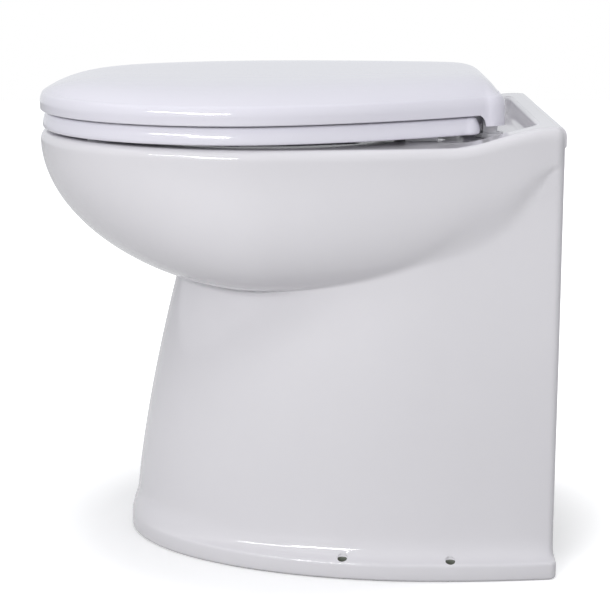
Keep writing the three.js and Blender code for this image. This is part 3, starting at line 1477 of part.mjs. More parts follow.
// Duckbill: a rubber flange whose tube flattens to two lips that the flow parts
function makeJokerValve() {
  const steps = 3;
  const tube = (radius, lipHalf, from, to) => {
    const loops = [];
    for (let step = 0; step <= steps; step += 1) {
      const share = step / steps;
      const loop = [];
      for (let side = 0; side < middleSides; side += 1) {
        const turn = (side / middleSides) * Math.PI * 2;
        loop.push(new THREE.Vector3(dischargeX + radius * Math.cos(turn), from + (to - from) * share,
          dischargeHeight + (radius + (lipHalf - radius) * share) * Math.sin(turn)));
      }
      loops.push(loop);
    }
    return loft(loops);
  };
  const inner = dischargeBoreRadius - jokerWall;
  const flange = rodY(dischargeFlangeRadius, jokerLow, jokerLow + jokerFlangeThickness,
    dischargeX, dischargeHeight);
  const lip = jokerLipGap / 2;
  return flange.add(
    tube(dischargeBoreRadius, lip + jokerWall, jokerLow + gap, jokerLow + jokerLength)).subtract(
    tube(inner, lip, jokerLow - overrun, jokerLow + jokerLength + overrun));
}

// Teeth of a hose barb as points of radius and place, from the root towards the open end
function barbPoints(radius, start, count, direction) {
  const points = [];
  for (let i = 0; i < count; i += 1) {
    const from = start + direction * i * barbPitch;
    points.push([radius + barbHeight, from], [radius, from + direction * barbPitch]);
  }
  return points;
}

function makeDischargeTail() {
  const chamberEnd = tailLow + jokerChamberLength;
  const chamberOuter = jokerChamberRadius + jokerChamberWall;
  const neckEnd = chamberEnd + jokerChamberWall;
  return turnedY([
    [jokerChamberRadius, tailLow], [dischargeFlangeRadius, tailLow],
    [dischargeFlangeRadius, tailLow + dischargeFlangeThickness],
    [chamberOuter, tailLow + dischargeFlangeThickness], [chamberOuter, chamberEnd],
    [dischargeRadius, neckEnd],
    ...barbPoints(dischargeRadius, tailHigh - barbCount * barbPitch, barbCount, 1),
    [dischargeBoreRadius, tailHigh], [dischargeBoreRadius, neckEnd], [jokerChamberRadius, chamberEnd],
  ], dischargeX, dischargeHeight, middleSides);
}

// Nut that draws the tail and the rubber valve against the elbow's flange
function makeUnionNut() {
  const outer = dischargeFlangeRadius + gap + unionNutWall;
  const low = tailLow + dischargeFlangeThickness + gap + unionNutEnd - unionNutLength;
  const shoulder = tailLow + dischargeFlangeThickness + gap;
  return turnedY([
    [dischargeFlangeRadius + gap, low], [outer, low], [outer, low + unionNutLength],
    [jokerChamberRadius + jokerChamberWall + gap, low + unionNutLength],
    [jokerChamberRadius + jokerChamberWall + gap, shoulder], [dischargeFlangeRadius + gap, shoulder],
  ], dischargeX, dischargeHeight, middleSides);
}

addPart('discharge_elbow', makeDischargeElbow(), pumpPlastic);
addPart('joker_valve', makeJokerValve(), blackRubber);
addPart('discharge_hose_tail', makeDischargeTail(), pumpPlastic);
addPart('discharge_union_nut', makeUnionNut(), pumpPlastic);

// Rinse water: solenoid valve, the hose up to the rim and the spray nozzle

const bossTop = valveHeight + valveBossHeight;
const plungerLow = valveHeight + valveSeatHeight + gap;
const plungerHigh = plungerLow + plungerLength;
const tubeLow = bossTop + gap;
const tubeHigh = tubeLow + coreTubeHeight;
const tubeCeiling = tubeHigh - coreTubeEnd;
const outletTop = valveHeight + valveOutletRise;
const barbTop = outletTop + hoseBarbLength;
const hoseLow = barbTop - hoseOverlap;
const nozzleElbowLow = nozzleHeight - nozzleDrop;
const nozzleBarbLow = nozzleElbowLow - hoseBarbLength;
const hoseHigh = nozzleBarbLow + hoseOverlap;

function makeValveBody() {
  const valveEnd = valveBodyStart + valveBodyLength;
  const outside = joined([
    rodY(valveBodyRadius, valveBodyStart, valveEnd, valveX, valveHeight),
    block(valveX - valveFootHalfWidth, valveX + valveFootHalfWidth, valveCoreY - valveFootLength / 2,
      valveCoreY + valveFootLength / 2, plateHigh + gap, valveHeight),
    rodZ(bonnetRadius, valveHeight, bossTop, valveX, valveCoreY),
    rodY(valveOutletRadius, hoseStartY, valveBodyStart + overrun, valveX, valveHeight),
    solidOf(new THREE.SphereGeometry(valveOutletRadius, smallSides, smallSides / 2)
      .translate(valveX, hoseStartY, valveHeight)),
    rodZ(valveOutletRadius, valveHeight, outletTop, valveX, hoseStartY),
    rodZ(hoseBarbRadius, outletTop - overrun, barbTop, valveX, hoseStartY, smallSides),
  ]);
  return cutBy(outside, [
    rodY(valveBoreRadius, valveCoreY - valveBoreRadius, valveEnd + overrun, valveX, valveHeight,
      smallSides),
    rodY(hoseBarbBoreRadius, hoseStartY, valveCoreY, valveX, valveHeight, smallSides),
    rodZ(hoseBarbBoreRadius, valveHeight, barbTop + overrun, valveX, hoseStartY, smallSides),
    rodZ(valveOrificeRadius, valveHeight, plungerLow, valveX, valveCoreY, smallSides),
    rodZ(coreTubeBoreRadius, plungerLow - gap, bossTop + overrun, valveX, valveCoreY, smallSides),
  ]);
}

function makeCoreTube() {
  return turnedZ([
    [coreTubeBoreRadius, tubeLow], [bonnetRadius, tubeLow], [bonnetRadius, tubeLow + bonnetHeight],
    [coreTubeRadius, tubeLow + bonnetHeight], [coreTubeRadius, tubeHigh], [0, tubeHigh],
    [0, tubeCeiling], [coreTubeBoreRadius, tubeCeiling],
  ], valveX, valveCoreY, middleSides);
}

function makeCoil() {
  const low = tubeLow + bonnetHeight + gap;
  const shape = roundedBox2D(valveX - coilHalfWidth, valveX + coilHalfWidth,
    valveCoreY - coilHalfWidth, valveCoreY + coilHalfWidth, coilCorner);
  return prismZ(shape, low, low + coilHeight).subtract(rodZ(
    coreTubeRadius + gap, low - overrun, low + coilHeight + overrun, valveX, valveCoreY));
}

function makeCoilNut() {
  const low = tubeLow + bonnetHeight + gap + coilHeight + gap;
  return rodZ(coilNutRadius + coilLift / 2, low, low + coilNutHeight, valveX, valveCoreY, 6).subtract(rodZ(
    coreTubeRadius + gap, low - overrun, low + coilNutHeight + overrun, valveX, valveCoreY));
}

// Return spring between the plunger and the closed end of its tube
class SpringCurve extends THREE.Curve {
  getPoint(share, target = new THREE.Vector3()) {
    const angle = share * springTurns * Math.PI * 2;
    const low = plungerHigh + gap + springWire;
    const high = tubeCeiling - gap - springWire;
    return target.set(valveX + springRadius * Math.cos(angle),
      valveCoreY + springRadius * Math.sin(angle), low + (high - low) * share);
  }
}

function makeSpring() {
  const wire = new THREE.Shape();
  for (let i = 0; i < springSides; i += 1) {
    const angle = (i / springSides) * Math.PI * 2;
    const [x, y] = [springWire / 2 * Math.cos(angle), springWire / 2 * Math.sin(angle)];
    if (i === 0) wire.moveTo(x, y);
    else wire.lineTo(x, y);
  }
  return solidOf(new THREE.ExtrudeGeometry(wire, {
    steps: springTurns * springStepsPerTurn, bevelEnabled: false, extrudePath: new SpringCurve(),
  }));
}

function makeWaterTail() {
  const low = valveBodyStart + valveBodyLength + gap;
  const barbStart = tailHigh - barbCount * barbPitch;
  const tail = turnedY([
    [waterTailBoreRadius, low], [waterTailRadius, low],
    ...barbPoints(waterTailRadius - barbHeight, barbStart, barbCount, 1),
    [waterTailBoreRadius, tailHigh],
  ], valveX, valveHeight, middleSides);
  const hex = rodY(waterTailHexRadius, low, low + waterTailHexLength, valveX, valveHeight, 6);
  return tail.add(hex).subtract(
    rodY(waterTailBoreRadius, low - overrun, tailHigh + overrun, valveX, valveHeight));
}

// The route of the rinse hose, chosen by hand as shares of the way from the nozzle back to the
// valve across, from the valve to the nozzle along, and from the lower barb to the upper one
const hoseRouteShares = [
  [1, 0, 0], [1, 0, 0.033], [1, 0, 0.07], [0.98, 0.04, 0.176], [0.8, 0.23, 0.359],
  [0.5, 0.52, 0.525], [0.2, 0.79, 0.681], [0.02, 0.97, 0.827], [0, 1, 0.927], [0, 1, 0.963],
  [0, 1, 1],
];
const hoseRoute = hoseRouteShares.map(([aside, along, up]) => new THREE.Vector3(
  valveX * aside, THREE.MathUtils.lerp(hoseStartY, hoseEndY, along),
  THREE.MathUtils.lerp(hoseLow, hoseHigh, up)));

function makeHose() {
  const section = new THREE.Shape();
  section.absarc(0, 0, hoseBoreRadius + hoseWall, 0, Math.PI * 2);
  const bore = new THREE.Path();
  bore.absarc(0, 0, hoseBoreRadius, 0, Math.PI * 2, true);
  section.holes.push(bore);
  return solidOf(new THREE.ExtrudeGeometry(section, {
    steps: hoseSteps, curveSegments: hoseSides / 2, bevelEnabled: false,
    extrudePath: new THREE.CatmullRomCurve3(hoseRoute),
  }));
}

function makeNozzle() {
  const headLow = nozzleHeadBack - nozzleHeadLength;
  const slotY = nozzleHeadBack - nozzleHeadLength / 2;
  const outside = joined([
    rodY(nozzleHeadRadius, headLow, nozzleHeadBack, 0, nozzleHeight),
    rodY(nozzleBodyRadius, headLow, hoseEndY, 0, nozzleHeight),
    solidOf(new THREE.SphereGeometry(nozzleBodyRadius, smallSides, smallSides / 2)
      .translate(0, hoseEndY, nozzleHeight)),
    rodZ(nozzleBodyRadius, nozzleElbowLow, nozzleHeight, 0, hoseEndY),
    rodZ(hoseBarbRadius, nozzleBarbLow, nozzleElbowLow + overrun, 0, hoseEndY, smallSides),
  ]);
  return cutBy(outside, [
    rodY(nozzleBoreRadius, slotY, hoseEndY, 0, nozzleHeight, smallSides),
    rodZ(nozzleBoreRadius, nozzleBarbLow - overrun, nozzleHeight, 0, hoseEndY, smallSides),
    rodX(nozzleSlotRadius, -nozzleHeadRadius - overrun, nozzleHeadRadius + overrun,
      slotY, nozzleHeight, smallSides),
  ]);
}

function makeNozzleNut() {
  const high = nozzleNutStart + nozzleNutLength;
  return cutBy(rodY(nozzleNutRadius, nozzleNutStart, high, 0, nozzleHeight, 6).add(
    rodY(nozzleFlangeRadius, nozzleNutStart, nozzleNutStart + nozzleFlangeThickness, 0, nozzleHeight)), [
    rodY(nozzleBodyRadius + gap, nozzleNutStart - overrun, high + overrun, 0, nozzleHeight),
  ]);
}

addPart('valve_body', makeValveBody(), brassFinish);
addPart('valve_core_tube', makeCoreTube(), brassFinish);
addPart('valve_plunger', rodZ(
  plungerRadius, plungerLow, plungerHigh, valveX, valveCoreY, smallSides), stainless);
addPart('plunger_spring', makeSpring(), stainless);
addPart('valve_coil', makeCoil(), pumpPlastic);
addPart('coil_nut', makeCoilNut(), stainless);
addPart('water_inlet_tail', makeWaterTail(), brassFinish);
addPart('rinse_hose', makeHose(), clearHose);
addPart('rinse_nozzle', makeNozzle(), whitePlastic);
addPart('nozzle_nut', makeNozzleNut(), whitePlastic);

export default toilet;
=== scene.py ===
import json
import math

import bmesh
import bpy
import numpy as np
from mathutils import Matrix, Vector


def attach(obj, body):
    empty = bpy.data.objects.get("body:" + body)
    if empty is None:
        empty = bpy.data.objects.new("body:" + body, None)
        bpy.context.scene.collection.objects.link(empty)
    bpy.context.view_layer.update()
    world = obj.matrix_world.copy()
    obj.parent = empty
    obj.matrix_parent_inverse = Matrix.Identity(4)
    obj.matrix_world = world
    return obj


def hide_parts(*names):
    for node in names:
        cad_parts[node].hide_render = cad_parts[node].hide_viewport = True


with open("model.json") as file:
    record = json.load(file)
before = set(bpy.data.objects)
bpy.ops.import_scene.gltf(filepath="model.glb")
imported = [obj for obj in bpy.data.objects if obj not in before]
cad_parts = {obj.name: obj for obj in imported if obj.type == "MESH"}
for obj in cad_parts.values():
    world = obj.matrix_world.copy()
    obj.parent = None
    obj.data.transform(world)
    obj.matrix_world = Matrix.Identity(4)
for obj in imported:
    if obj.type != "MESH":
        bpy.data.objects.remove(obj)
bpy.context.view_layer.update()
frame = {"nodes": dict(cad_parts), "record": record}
MM = 0.001
QUARTER = math.pi / 2
FULL_TURN = 2 * math.pi
HAIR = 1e-6
OVERRUN = 2.0

# Whole object
BACK_Y = 247.0
FRONT_Y = -247.0
RIM_HEIGHT = 406.5
RIM_HALF = 181.5
DECK_HALF = 154.0

# Bulge of the bowl
RIM_FRONT_LENGTH = 221.0
RIM_SIDE_POWER = 1.8
RIM_EDGE = 9.5
RIM_EDGE_WIDTH = 6.5
RIM_CORNER = 10.0
FULL_HEIGHT = RIM_HEIGHT - RIM_EDGE
WIDEST_Y = FRONT_Y + RIM_FRONT_LENGTH
BULGE_FRONT_DEPTH = 142.0
BULGE_FRONT_POWER = 1.95
BULGE_SIDE_DEPTH = 135.0
BULGE_SIDE_POWER = 4.5
BULGE_BACK_DEPTH = 7.0
BULGE_BACK_POWER = 3.4
BULGE_DEPTH_POWER = 4.0
BULGE_HOLLOW_SHARE = 0.9
CREASE_SOFTNESS = 3.5
CREASE_BACK_SOFTNESS = 12.0
CREASE_BACK_START = 100.0
CREASE_BACK_FULL = 190.0

# Border, lip and recess of the deck
BORDER_RISE = 17.5
BORDER_RAMP_START = 107.0
BORDER_RAMP_END = 12.0
BORDER_WIDTH = 23.0
BORDER_DRAFT = 7.0
BORDER_CORNER = 24.0
BORDER_EDGE = 3.0
RECESS_FORWARD = 117.0
RECESS_LIFT = 0.02
RECESS_WALL_SHARE = 0.8
RECESS_STEP = 0.01
LIP_HEIGHT = 19.0
LIP_PROUD = 1.5
WALL_BACK_Y = BACK_Y - LIP_PROUD

# How the shell's rows and columns are spread
WALL_BANDS = ((50.0, 232.0, 19), (238.0, 300.0, 56), (302.0, FULL_HEIGHT, 48))
RISE_SHARES = (0.15, 0.3, 0.4, 0.45, 0.5, 0.55, 0.7, 0.85, 1)
TOP_SHARES = (0.03, 0.07, 0.12, 0.2, 0.35, 0.55, 0.8)
CORNER_RUN = 16.0
CORNER_COLUMNS = 26
BACK_COLUMNS = 10
CREASE_FADE = 25.0
BULGE_END = 0.999
FOOT_BACK_GAIN = 1.2
LIP_STEP = 1.2
BACK_NEAR = 0.6

# Pedestal and foot
PEDESTAL_TOP = 393.5
PEDESTAL_WIDEST_SHARE = 0.771
PEDESTAL_WIDEST_Y = BACK_Y - (BACK_Y - FRONT_Y) * (1 - PEDESTAL_WIDEST_SHARE)
PEDESTAL_FRONT_INSET = 87.0
PEDESTAL_BACK_HALF = 159.0
PEDESTAL_SWELL = 6.0
PEDESTAL_TAPER = 5.0
PEDESTAL_FRONT_TAPER = 41.0
PEDESTAL_TAPER_HEIGHT = 226.0
PEDESTAL_TAPER_POWER = 1.4
PEDESTAL_CORNER = 7.0
FOOT_FRONT_REACH = 6.0
FOOT_SIDE_REACH = 11.0
FOOT_FACE = 17.0
FOOT_TOP = 26.0

# Bowl inside, walls and openings
CHINA_WALL = 13.0
BOWL_SKIN = 12.0
SKIN_BELOW = 16.0
HOLLOW_SPLIT = 300.0
OPENING_FRONT_BAND = 44.0
OPENING_SIDE_BAND = 48.0
OPENING_LENGTH = 313.0
OPENING_EDGE = 5.0
SUMP_HEIGHT = 190.0
BOWL_DEPTH_POWER = 2
BOWL_FULLNESS = 0.7
BOWL_FRONT_SOFTNESS = 14.0
OUTLET_Y = -30.0
OUTLET_BORE = 32.0
SPIGOT_RADIUS = 42.0
SPIGOT_END = 132.3
SPIGOT_EDGE = 1.5
OUTLET_OVERRUN = 4.0
DOOR_HALF = 108.0
DOOR_HEIGHT = 292.0
DOOR_CORNER = 40.0
DOOR_EDGE = 3.0
DOOR_BELOW = -90.0
DOOR_OVERRUN = 4.0
HOLLOW_ROWS = (-1.0, FOOT_TOP, 110.0, 200.0, HOLLOW_SPLIT, PEDESTAL_TOP)
HINGE_X = 77.5
HINGE_Y = 184.0
HINGE_Z = 425.0
HOLE_RADIUS = 4.2
HOLE_MOUTH = 1.0
HOLE_MOUTH_DEPTH = 3.0
HOLE_START = -5.0
HOLE_INSET = 6.3
HOLE_REACH = 27.0
# Reach and depth of the painted shade in the bores of the fixing holes
HOLE_SHADE_RADIUS = HOLE_RADIUS + 0.3
HOLE_SHADE_BELOW = 21.5
HOLE_PLACES = (46.0, 147.0)
NOZZLE_HEIGHT = 372.0
NOZZLE_RADIUS = 9.3
NOZZLE_BORE_END = 140.0
HINGE_BOLT_BORE = 5.0

# Seat and lid, drawn flat and then tilted about their middle
SEAT_HALF = 183.0
SEAT_FRONT_Y = FRONT_Y + 0.5
SEAT_FRONT_LENGTH = 210.0
SEAT_WIDEST_Y = SEAT_FRONT_Y + SEAT_FRONT_LENGTH
SEAT_REAR_HALF = 105.0
SEAT_REAR_POWER = 1.7
SEAT_TILT = math.atan(0.01)
SEAT_LIFT = RIM_HEIGHT + 4.7
SEAT_REAR_Y = 172.0
SEAT_PIVOT_Y = (FRONT_Y + SEAT_REAR_Y) / 2
SEAT_THICKNESS = 16.6
SEAT_INSET = 2.0
SEAT_EDGE = 7.0
SEAT_UNDER_EDGE = 2.2
SEAT_TOP_EDGE = 3.2
SEAT_SIDE_BEND = 0.02
SEAT_CORNER = 14.0
SEAT_HOLE_HALF = 112.0
SEAT_HOLE_FRONT = 77.0
SEAT_HOLE_LENGTH = 265.0
SEAT_HOLE_EDGE = 7.0
SEAT_HOLE_UNDER_EDGE = 1.5
SEAT_TOP_REACH = 2.7
SEAT_TOP_SLOPE = 0.35
LID_LENGTH = 443.0
LID_REAR_Y = SEAT_FRONT_Y + LID_LENGTH
LID_LOW = SEAT_THICKNESS + 0.6
LID_CORNER = 18.0
LID_SIDE = 15.2
LID_SIDE_BEND = 0.03
LID_EDGE_WIDTH = 6.5
LID_EDGE_HEIGHT = 5.4
LID_EDGE_START = math.radians(20)
LID_EDGE_TURN = math.radians(62)
LID_CROWN = 16.0
LID_CROWN_MIDDLE = 0.0
LID_SIDE_POWER = 5.5
LID_FRONT_POWER = 9.0
LID_REAR_POWER = 22.0
LID_CROWN_ROWS = 44
LID_CEILING = 19.5
LID_UNDER_EDGE = 1.5
LID_WALL = 5.0
LID_SHOULDER = LID_LOW + LID_SIDE
LID_BEND = LID_LOW + LID_SIDE / 2
LID_UNDERSIDE = LID_LOW + LID_CEILING
CAVITY_BEVEL = 12.0
LOBE_DROP = 10.0
LOBE_LENGTH = 19.5
LOBE_SLANT = 5.0
BARREL = 6.8
EAR_WIDTH = 10.0
EAR_GAP = 1.5
POST_HALF = 7.0
NOTCH_CLEARANCE = 1.5
PIN_RADIUS = 3.5
PIN_CLEARANCE = 0.3
EAR_SINK = 0.3
BOSS_RADIUS = 6.5
BOSS_X = 105.0
BOSS_Y = -165.0
BOSS_LIFT = 3.0
CAVITY_TOP_SHARE = 0.9

# Camera at the photograph's viewing angle
CAMERA_TARGET = Vector((0.0, 0.011, 0.227))
CAMERA_DISTANCE = 1.805
CAMERA_ELEVATION = math.radians(12.6)
camera_data = bpy.data.cameras.new("camera")
camera_data.lens = 106.2
camera_data.sensor_width = 36.0
camera = bpy.data.objects.new("camera", camera_data)
bpy.context.scene.collection.objects.link(camera)
back_off = Vector((math.cos(CAMERA_ELEVATION), 0, math.sin(CAMERA_ELEVATION)))
camera.location = CAMERA_TARGET + back_off * CAMERA_DISTANCE
camera.rotation_mode = "QUATERNION"
camera.rotation_quaternion = (-back_off).to_track_quat("-Z", "Y")
bpy.context.scene.camera = camera
bpy.context.scene.view_settings.view_transform = "Standard"


# Materials
MOTTLE_DETAIL = 3
LEAST_ROUGHNESS = 0.02
COAT_ROUGHNESS = 0.03


def linear(hex_code):
    """sRGB hex colour as linear red, green, blue and alpha."""
    channels = [int(hex_code[i:i + 2], 16) / 255 for i in (1, 3, 5)]
    return [c / 12.92 if c <= 0.04045 else ((c + 0.055) / 1.055) ** 2.4 for c in channels] + [1.0]


def add_node(tree, kind, inputs=None, **settings):
    """Adds a node with its settings. Inputs that are sockets are linked, the others are set."""
    node = tree.nodes.new(kind)
    for label, value in settings.items():
        setattr(node, label, value)
    for key, value in (inputs or {}).items():
        if isinstance(value, bpy.types.NodeSocket):
            tree.links.new(value, node.inputs[key])
        else:
            node.inputs[key].default_value = value
    return node


def surface(name, color, second, roughness, rough_spread=0.05, metallic=0.0, grain_mm=20.0,
            bump_mm=0.0, coat=0.0, stretch=(1, 1, 1), sheen=0.0):
    """Material with a soft mottle between two near colours, and roughness and relief to match."""
    material = bpy.data.materials.new(name)
    material.use_nodes = True
    tree = material.node_tree
    shader = tree.nodes["Principled BSDF"]
    place = add_node(tree, "ShaderNodeTexCoord").outputs["Object"]
    drawn = add_node(tree, "ShaderNodeMapping", {"Vector": place, "Scale": stretch})
    mottle = add_node(tree, "ShaderNodeTexNoise", {
        "Vector": drawn.outputs["Vector"], "Scale": 1 / (grain_mm * MM),
        "Detail": MOTTLE_DETAIL}).outputs["Fac"]
    blend = add_node(tree, "ShaderNodeMix", {
        "Factor": mottle, 6: linear(color), 7: linear(second)}, data_type="RGBA")
    tree.links.new(blend.outputs[2], shader.inputs["Base Color"])
    spread = add_node(tree, "ShaderNodeMapRange", {
        "Value": mottle, "To Min": max(roughness - rough_spread, LEAST_ROUGHNESS),
        "To Max": roughness + rough_spread})
    tree.links.new(spread.outputs["Result"], shader.inputs["Roughness"])
    if bump_mm:
        relief = add_node(tree, "ShaderNodeBump", {
            "Height": mottle, "Distance": bump_mm * MM, "Strength": 1.0})
        tree.links.new(relief.outputs["Normal"], shader.inputs["Normal"])
    shader.inputs["Metallic"].default_value = metallic
    shader.inputs["Coat Weight"].default_value = coat
    shader.inputs["Coat Roughness"].default_value = COAT_ROUGHNESS
    shader.inputs["Sheen Weight"].default_value = sheen
    return material


def paint_hole_shade(material, places, color):
    """Paints shade into upright holes at the places, mirrored in X: below a height their bores take
    a dark colour that stands in for the shade inside them.
    """
    tree = material.node_tree
    place = add_node(tree, "ShaderNodeTexCoord").outputs["Object"]
    x, y, z = add_node(tree, "ShaderNodeSeparateXYZ", {0: place}).outputs
    aside = add_node(tree, "ShaderNodeMath", {0: x}, operation="ABSOLUTE").outputs[0]
    flat = add_node(tree, "ShaderNodeCombineXYZ", {0: aside, 1: y}).outputs[0]
    inside = add_node(tree, "ShaderNodeMath", {0: z, 1: HOLE_SHADE_BELOW * MM}, operation="LESS_THAN")
    near = 0.0
    for place_x, place_y in places:
        away = add_node(tree, "ShaderNodeVectorMath", {
            0: flat, 1: (place_x * MM, place_y * MM, 0)}, operation="DISTANCE")
        within = add_node(tree, "ShaderNodeMath", {
            0: away.outputs["Value"], 1: HOLE_SHADE_RADIUS * MM}, operation="LESS_THAN")
        near = add_node(tree, "ShaderNodeMath", {
            0: within.outputs[0], 1: near}, operation="MAXIMUM").outputs[0]
    # Painted shade: inside a hole's bore and below the height
    hole_shade = add_node(tree, "ShaderNodeMath", {
        0: near, 1: inside.outputs[0]}, operation="MULTIPLY")
    base = tree.nodes["Principled BSDF"].inputs["Base Color"]
    blend = add_node(tree, "ShaderNodeMix", {
        "Factor": hole_shade.outputs[0], 6: base.links[0].from_socket, 7: linear(color)},
        data_type="RGBA")
    tree.links.new(blend.outputs[2], base)


def hole_x_at(y):
    """Middle of a fixing hole in X, set in from the edge of the foot."""
    reach = PEDESTAL_WIDEST_Y - FRONT_Y - PEDESTAL_FRONT_INSET + FOOT_FRONT_REACH
    widest = PEDESTAL_BACK_HALF + PEDESTAL_SWELL + FOOT_SIDE_REACH
    ahead = max(0.0, PEDESTAL_WIDEST_Y - y) / reach
    return widest * math.sqrt(1 - ahead * ahead) - HOLE_INSET


# Vitreous china under a fired glaze: a hard wet gloss, with a faint wave a few centimetres long
glazed_china = surface("glazed_vitreous_china", "#e1dfe3", "#e4e2e6", 0.08, 0.015, grain_mm=60,
                       bump_mm=0.012, coat=0.5)
# Painted shade: the bores of the fixing holes are coloured dark grey-green, standing in for the
# shade inside them
paint_hole_shade(glazed_china, [(hole_x_at(y), y) for y in HOLE_PLACES], "#777b72")
# Pressed and polished thermoset: nearly as glossy as the china, but a colder white
moulded_thermoset = surface("moulded_thermoset", "#e3e1eb", "#e6e4ed", 0.1, 0.015, grain_mm=45,
                            bump_mm=0.01, coat=0.6)
# Moulded silicone rubber: matt, with a fine tooth that scatters the light
pale_rubber = surface("moulded_silicone_rubber", "#cfcfd2", "#d8d8da", 0.6, grain_mm=2,
                      bump_mm=0.05)
# Moulded nitrile rubber: nearly black, with a dusty bloom at its edges
black_rubber = surface("moulded_nitrile_rubber", "#1a1a1c", "#242426", 0.7, grain_mm=1.5,
                       bump_mm=0.06, sheen=0.1)
# Drawn stainless steel: grey mirror with a fine grain across the length
stainless_steel = surface("drawn_stainless_steel", "#b4b6b8", "#c6c8ca", 0.28, 0.08, 1.0,
                          grain_mm=0.8, bump_mm=0.01, stretch=(1, 0.08, 1))
# Moulded glass-filled nylon: black, with the half gloss of a sparked mould
filled_nylon = surface("moulded_glass_filled_nylon", "#1d1e21", "#27282b", 0.48, 0.08,
                       grain_mm=1.2, bump_mm=0.04)
# Moulded white nylon: milky and half matt
white_nylon = surface("moulded_white_nylon", "#dcdcdf", "#e4e4e6", 0.42, grain_mm=6,
                      bump_mm=0.02)
# Powder coat on steel: dark grey with a fine orange peel
powder_coat = surface("powder_coated_steel", "#33363b", "#3c4045", 0.42, 0.06, 0.1,
                      grain_mm=0.9, bump_mm=0.03)
# Wound and enamelled copper wire: warm metal, ridged along the turns
copper_wire = surface("enamelled_copper_wire", "#a65f35", "#c2774a", 0.3, 0.08, 1.0,
                      grain_mm=0.7, bump_mm=0.08, stretch=(1, 0.1, 1))
# Pressed carbon: soft black with a dry, even surface
pressed_carbon = surface("pressed_carbon", "#262626", "#303030", 0.6, grain_mm=0.6,
                         bump_mm=0.02)
# Sintered ferrite: dark grey, dry and slightly grainy
sintered_ferrite = surface("sintered_ferrite", "#3a3a3d", "#4a4a4e", 0.65, grain_mm=1,
                           bump_mm=0.02)
# Turned brass: warm metal with fine tool marks round it
turned_brass = surface("turned_brass", "#a8884a", "#bf9e60", 0.3, 0.07, 1.0, grain_mm=0.8,
                       bump_mm=0.01, stretch=(1, 0.1, 1))
# Extruded vinyl hose: cloudy grey with a smooth, waxy gloss
vinyl_hose = surface("extruded_vinyl_hose", "#b9bdc2", "#cdd1d5", 0.3, 0.04, grain_mm=5,
                     bump_mm=0.02, coat=0.2)
SLOT_LOOKS = {
    "glazed_china": glazed_china,
    "moulded_seat": moulded_thermoset,
    "pale_rubber": pale_rubber,
    "black_rubber": black_rubber,
    "stainless": stainless_steel,
    "pump_plastic": filled_nylon,
    "white_plastic": white_nylon,
    "motor_paint": powder_coat,
    "copper": copper_wire,
    "carbon": pressed_carbon,
    "magnet_grey": sintered_ferrite,
    "brass": turned_brass,
    "clear_hose": vinyl_hose,
}
NODE_SLOTS = {part["node"]: part["material_slot"] for part in frame["record"]["subparts"]}


# Mesh building
def mesh_object(mesh, name):
    """Turns a finished bmesh into an object of the scene."""
    data = bpy.data.meshes.new(name)
    mesh.to_mesh(data)
    mesh.free()
    piece = bpy.data.objects.new(name, data)
    bpy.context.scene.collection.objects.link(piece)
    return piece


def rows_mesh(rows, name):
    """Closed mesh from rows of points: the first is filled, then its edge is drawn out to each
    following row, and the last is filled. Both ends are fans about their middle."""
    # Taken backwards, so that a bent face splits from a point to the next point one row on
    rows = np.asarray(rows, float)[:, ::-1] * MM
    mesh = bmesh.new()
    ring = [mesh.verts.new(point) for point in rows[0]]
    ends = [mesh.faces.new(ring)]
    for row in rows[1:]:
        edges = [mesh.edges.get(pair) for pair in zip(ring, ring[1:] + ring[:1])]
        drawn = bmesh.ops.extrude_edge_only(mesh, edges=edges)["geom"]
        new = {part for part in drawn if isinstance(part, bmesh.types.BMVert)}
        following = []
        for vert in ring:
            following += [end for end in (e.other_vert(vert) for e in vert.link_edges)
                          if end in new]
        for vert, point in zip(following, row):
            vert.co = point
        ring = following
    ends.append(mesh.faces.new(ring))
    bmesh.ops.poke(mesh, faces=ends, center_mode="MEAN")
    bmesh.ops.recalc_face_normals(mesh, faces=mesh.faces)
    return mesh_object(mesh, name)


def settled(piece):
    """Applies a piece's modifiers to its mesh."""
    graph = bpy.context.evaluated_depsgraph_get()
    data = bpy.data.meshes.new_from_object(piece.evaluated_get(graph))
    piece.modifiers.clear()
    old, piece.data = piece.data, data
    bpy.data.meshes.remove(old)
    return piece


def combined(piece, others, operation):
    """Joins or cuts a piece with others, which are used up."""
    for other in others:
        modifier = piece.modifiers.new("combine", "BOOLEAN")
        modifier.operation = operation
        modifier.solver = "MANIFOLD"
        modifier.object = other
        settled(piece)
        data = other.data
        bpy.data.objects.remove(other)
        bpy.data.meshes.remove(data)
    return piece


def dressed(piece, slot, body, nodes, angle):
    """Gives a finished piece its shading, material, body and the CAD nodes it stands for."""
    piece.data.materials.clear()
    piece.data.materials.append(SLOT_LOOKS[slot])
    piece.data.shade_smooth()
    piece.data.set_sharp_from_angle(angle=math.radians(angle))
    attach(piece, body)
    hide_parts(*nodes)
    return piece


def mirrored(half):
    """Whole loop from its right half, front to back."""
    half = np.asarray(half, float)
    left = half[half[:, 0] > HAIR][::-1].copy()
    left[:, 0] *= -1
    return np.vstack([half, left])


def at_height(loop, height):
    loop = np.asarray(loop, float)
    return np.column_stack([loop[:, 0], loop[:, 1], np.broadcast_to(height, len(loop))])


SHARPEST_TURN = 0.3


def drawn_in(loop, distance):
    """Moves the points of a plan loop inward along their normals."""
    loop = np.asarray(loop, float)
    before = loop[:, :2] - np.roll(loop[:, :2], 1, axis=0)
    after = np.roll(loop[:, :2], -1, axis=0) - loop[:, :2]
    before /= np.linalg.norm(before, axis=1)[:, None]
    after /= np.linalg.norm(after, axis=1)[:, None]
    inward = np.column_stack([-(before + after)[:, 1], (before + after)[:, 0]])
    stretch = distance / np.maximum((inward ** 2).sum(axis=1) / 2, SHARPEST_TURN)
    moved = loop.copy()
    moved[:, :2] += inward * stretch[:, None]
    return moved


AXES = {"x": Vector((1, 0, 0)), "y": Vector((0, 1, 0)), "z": Vector((0, 0, 1))}


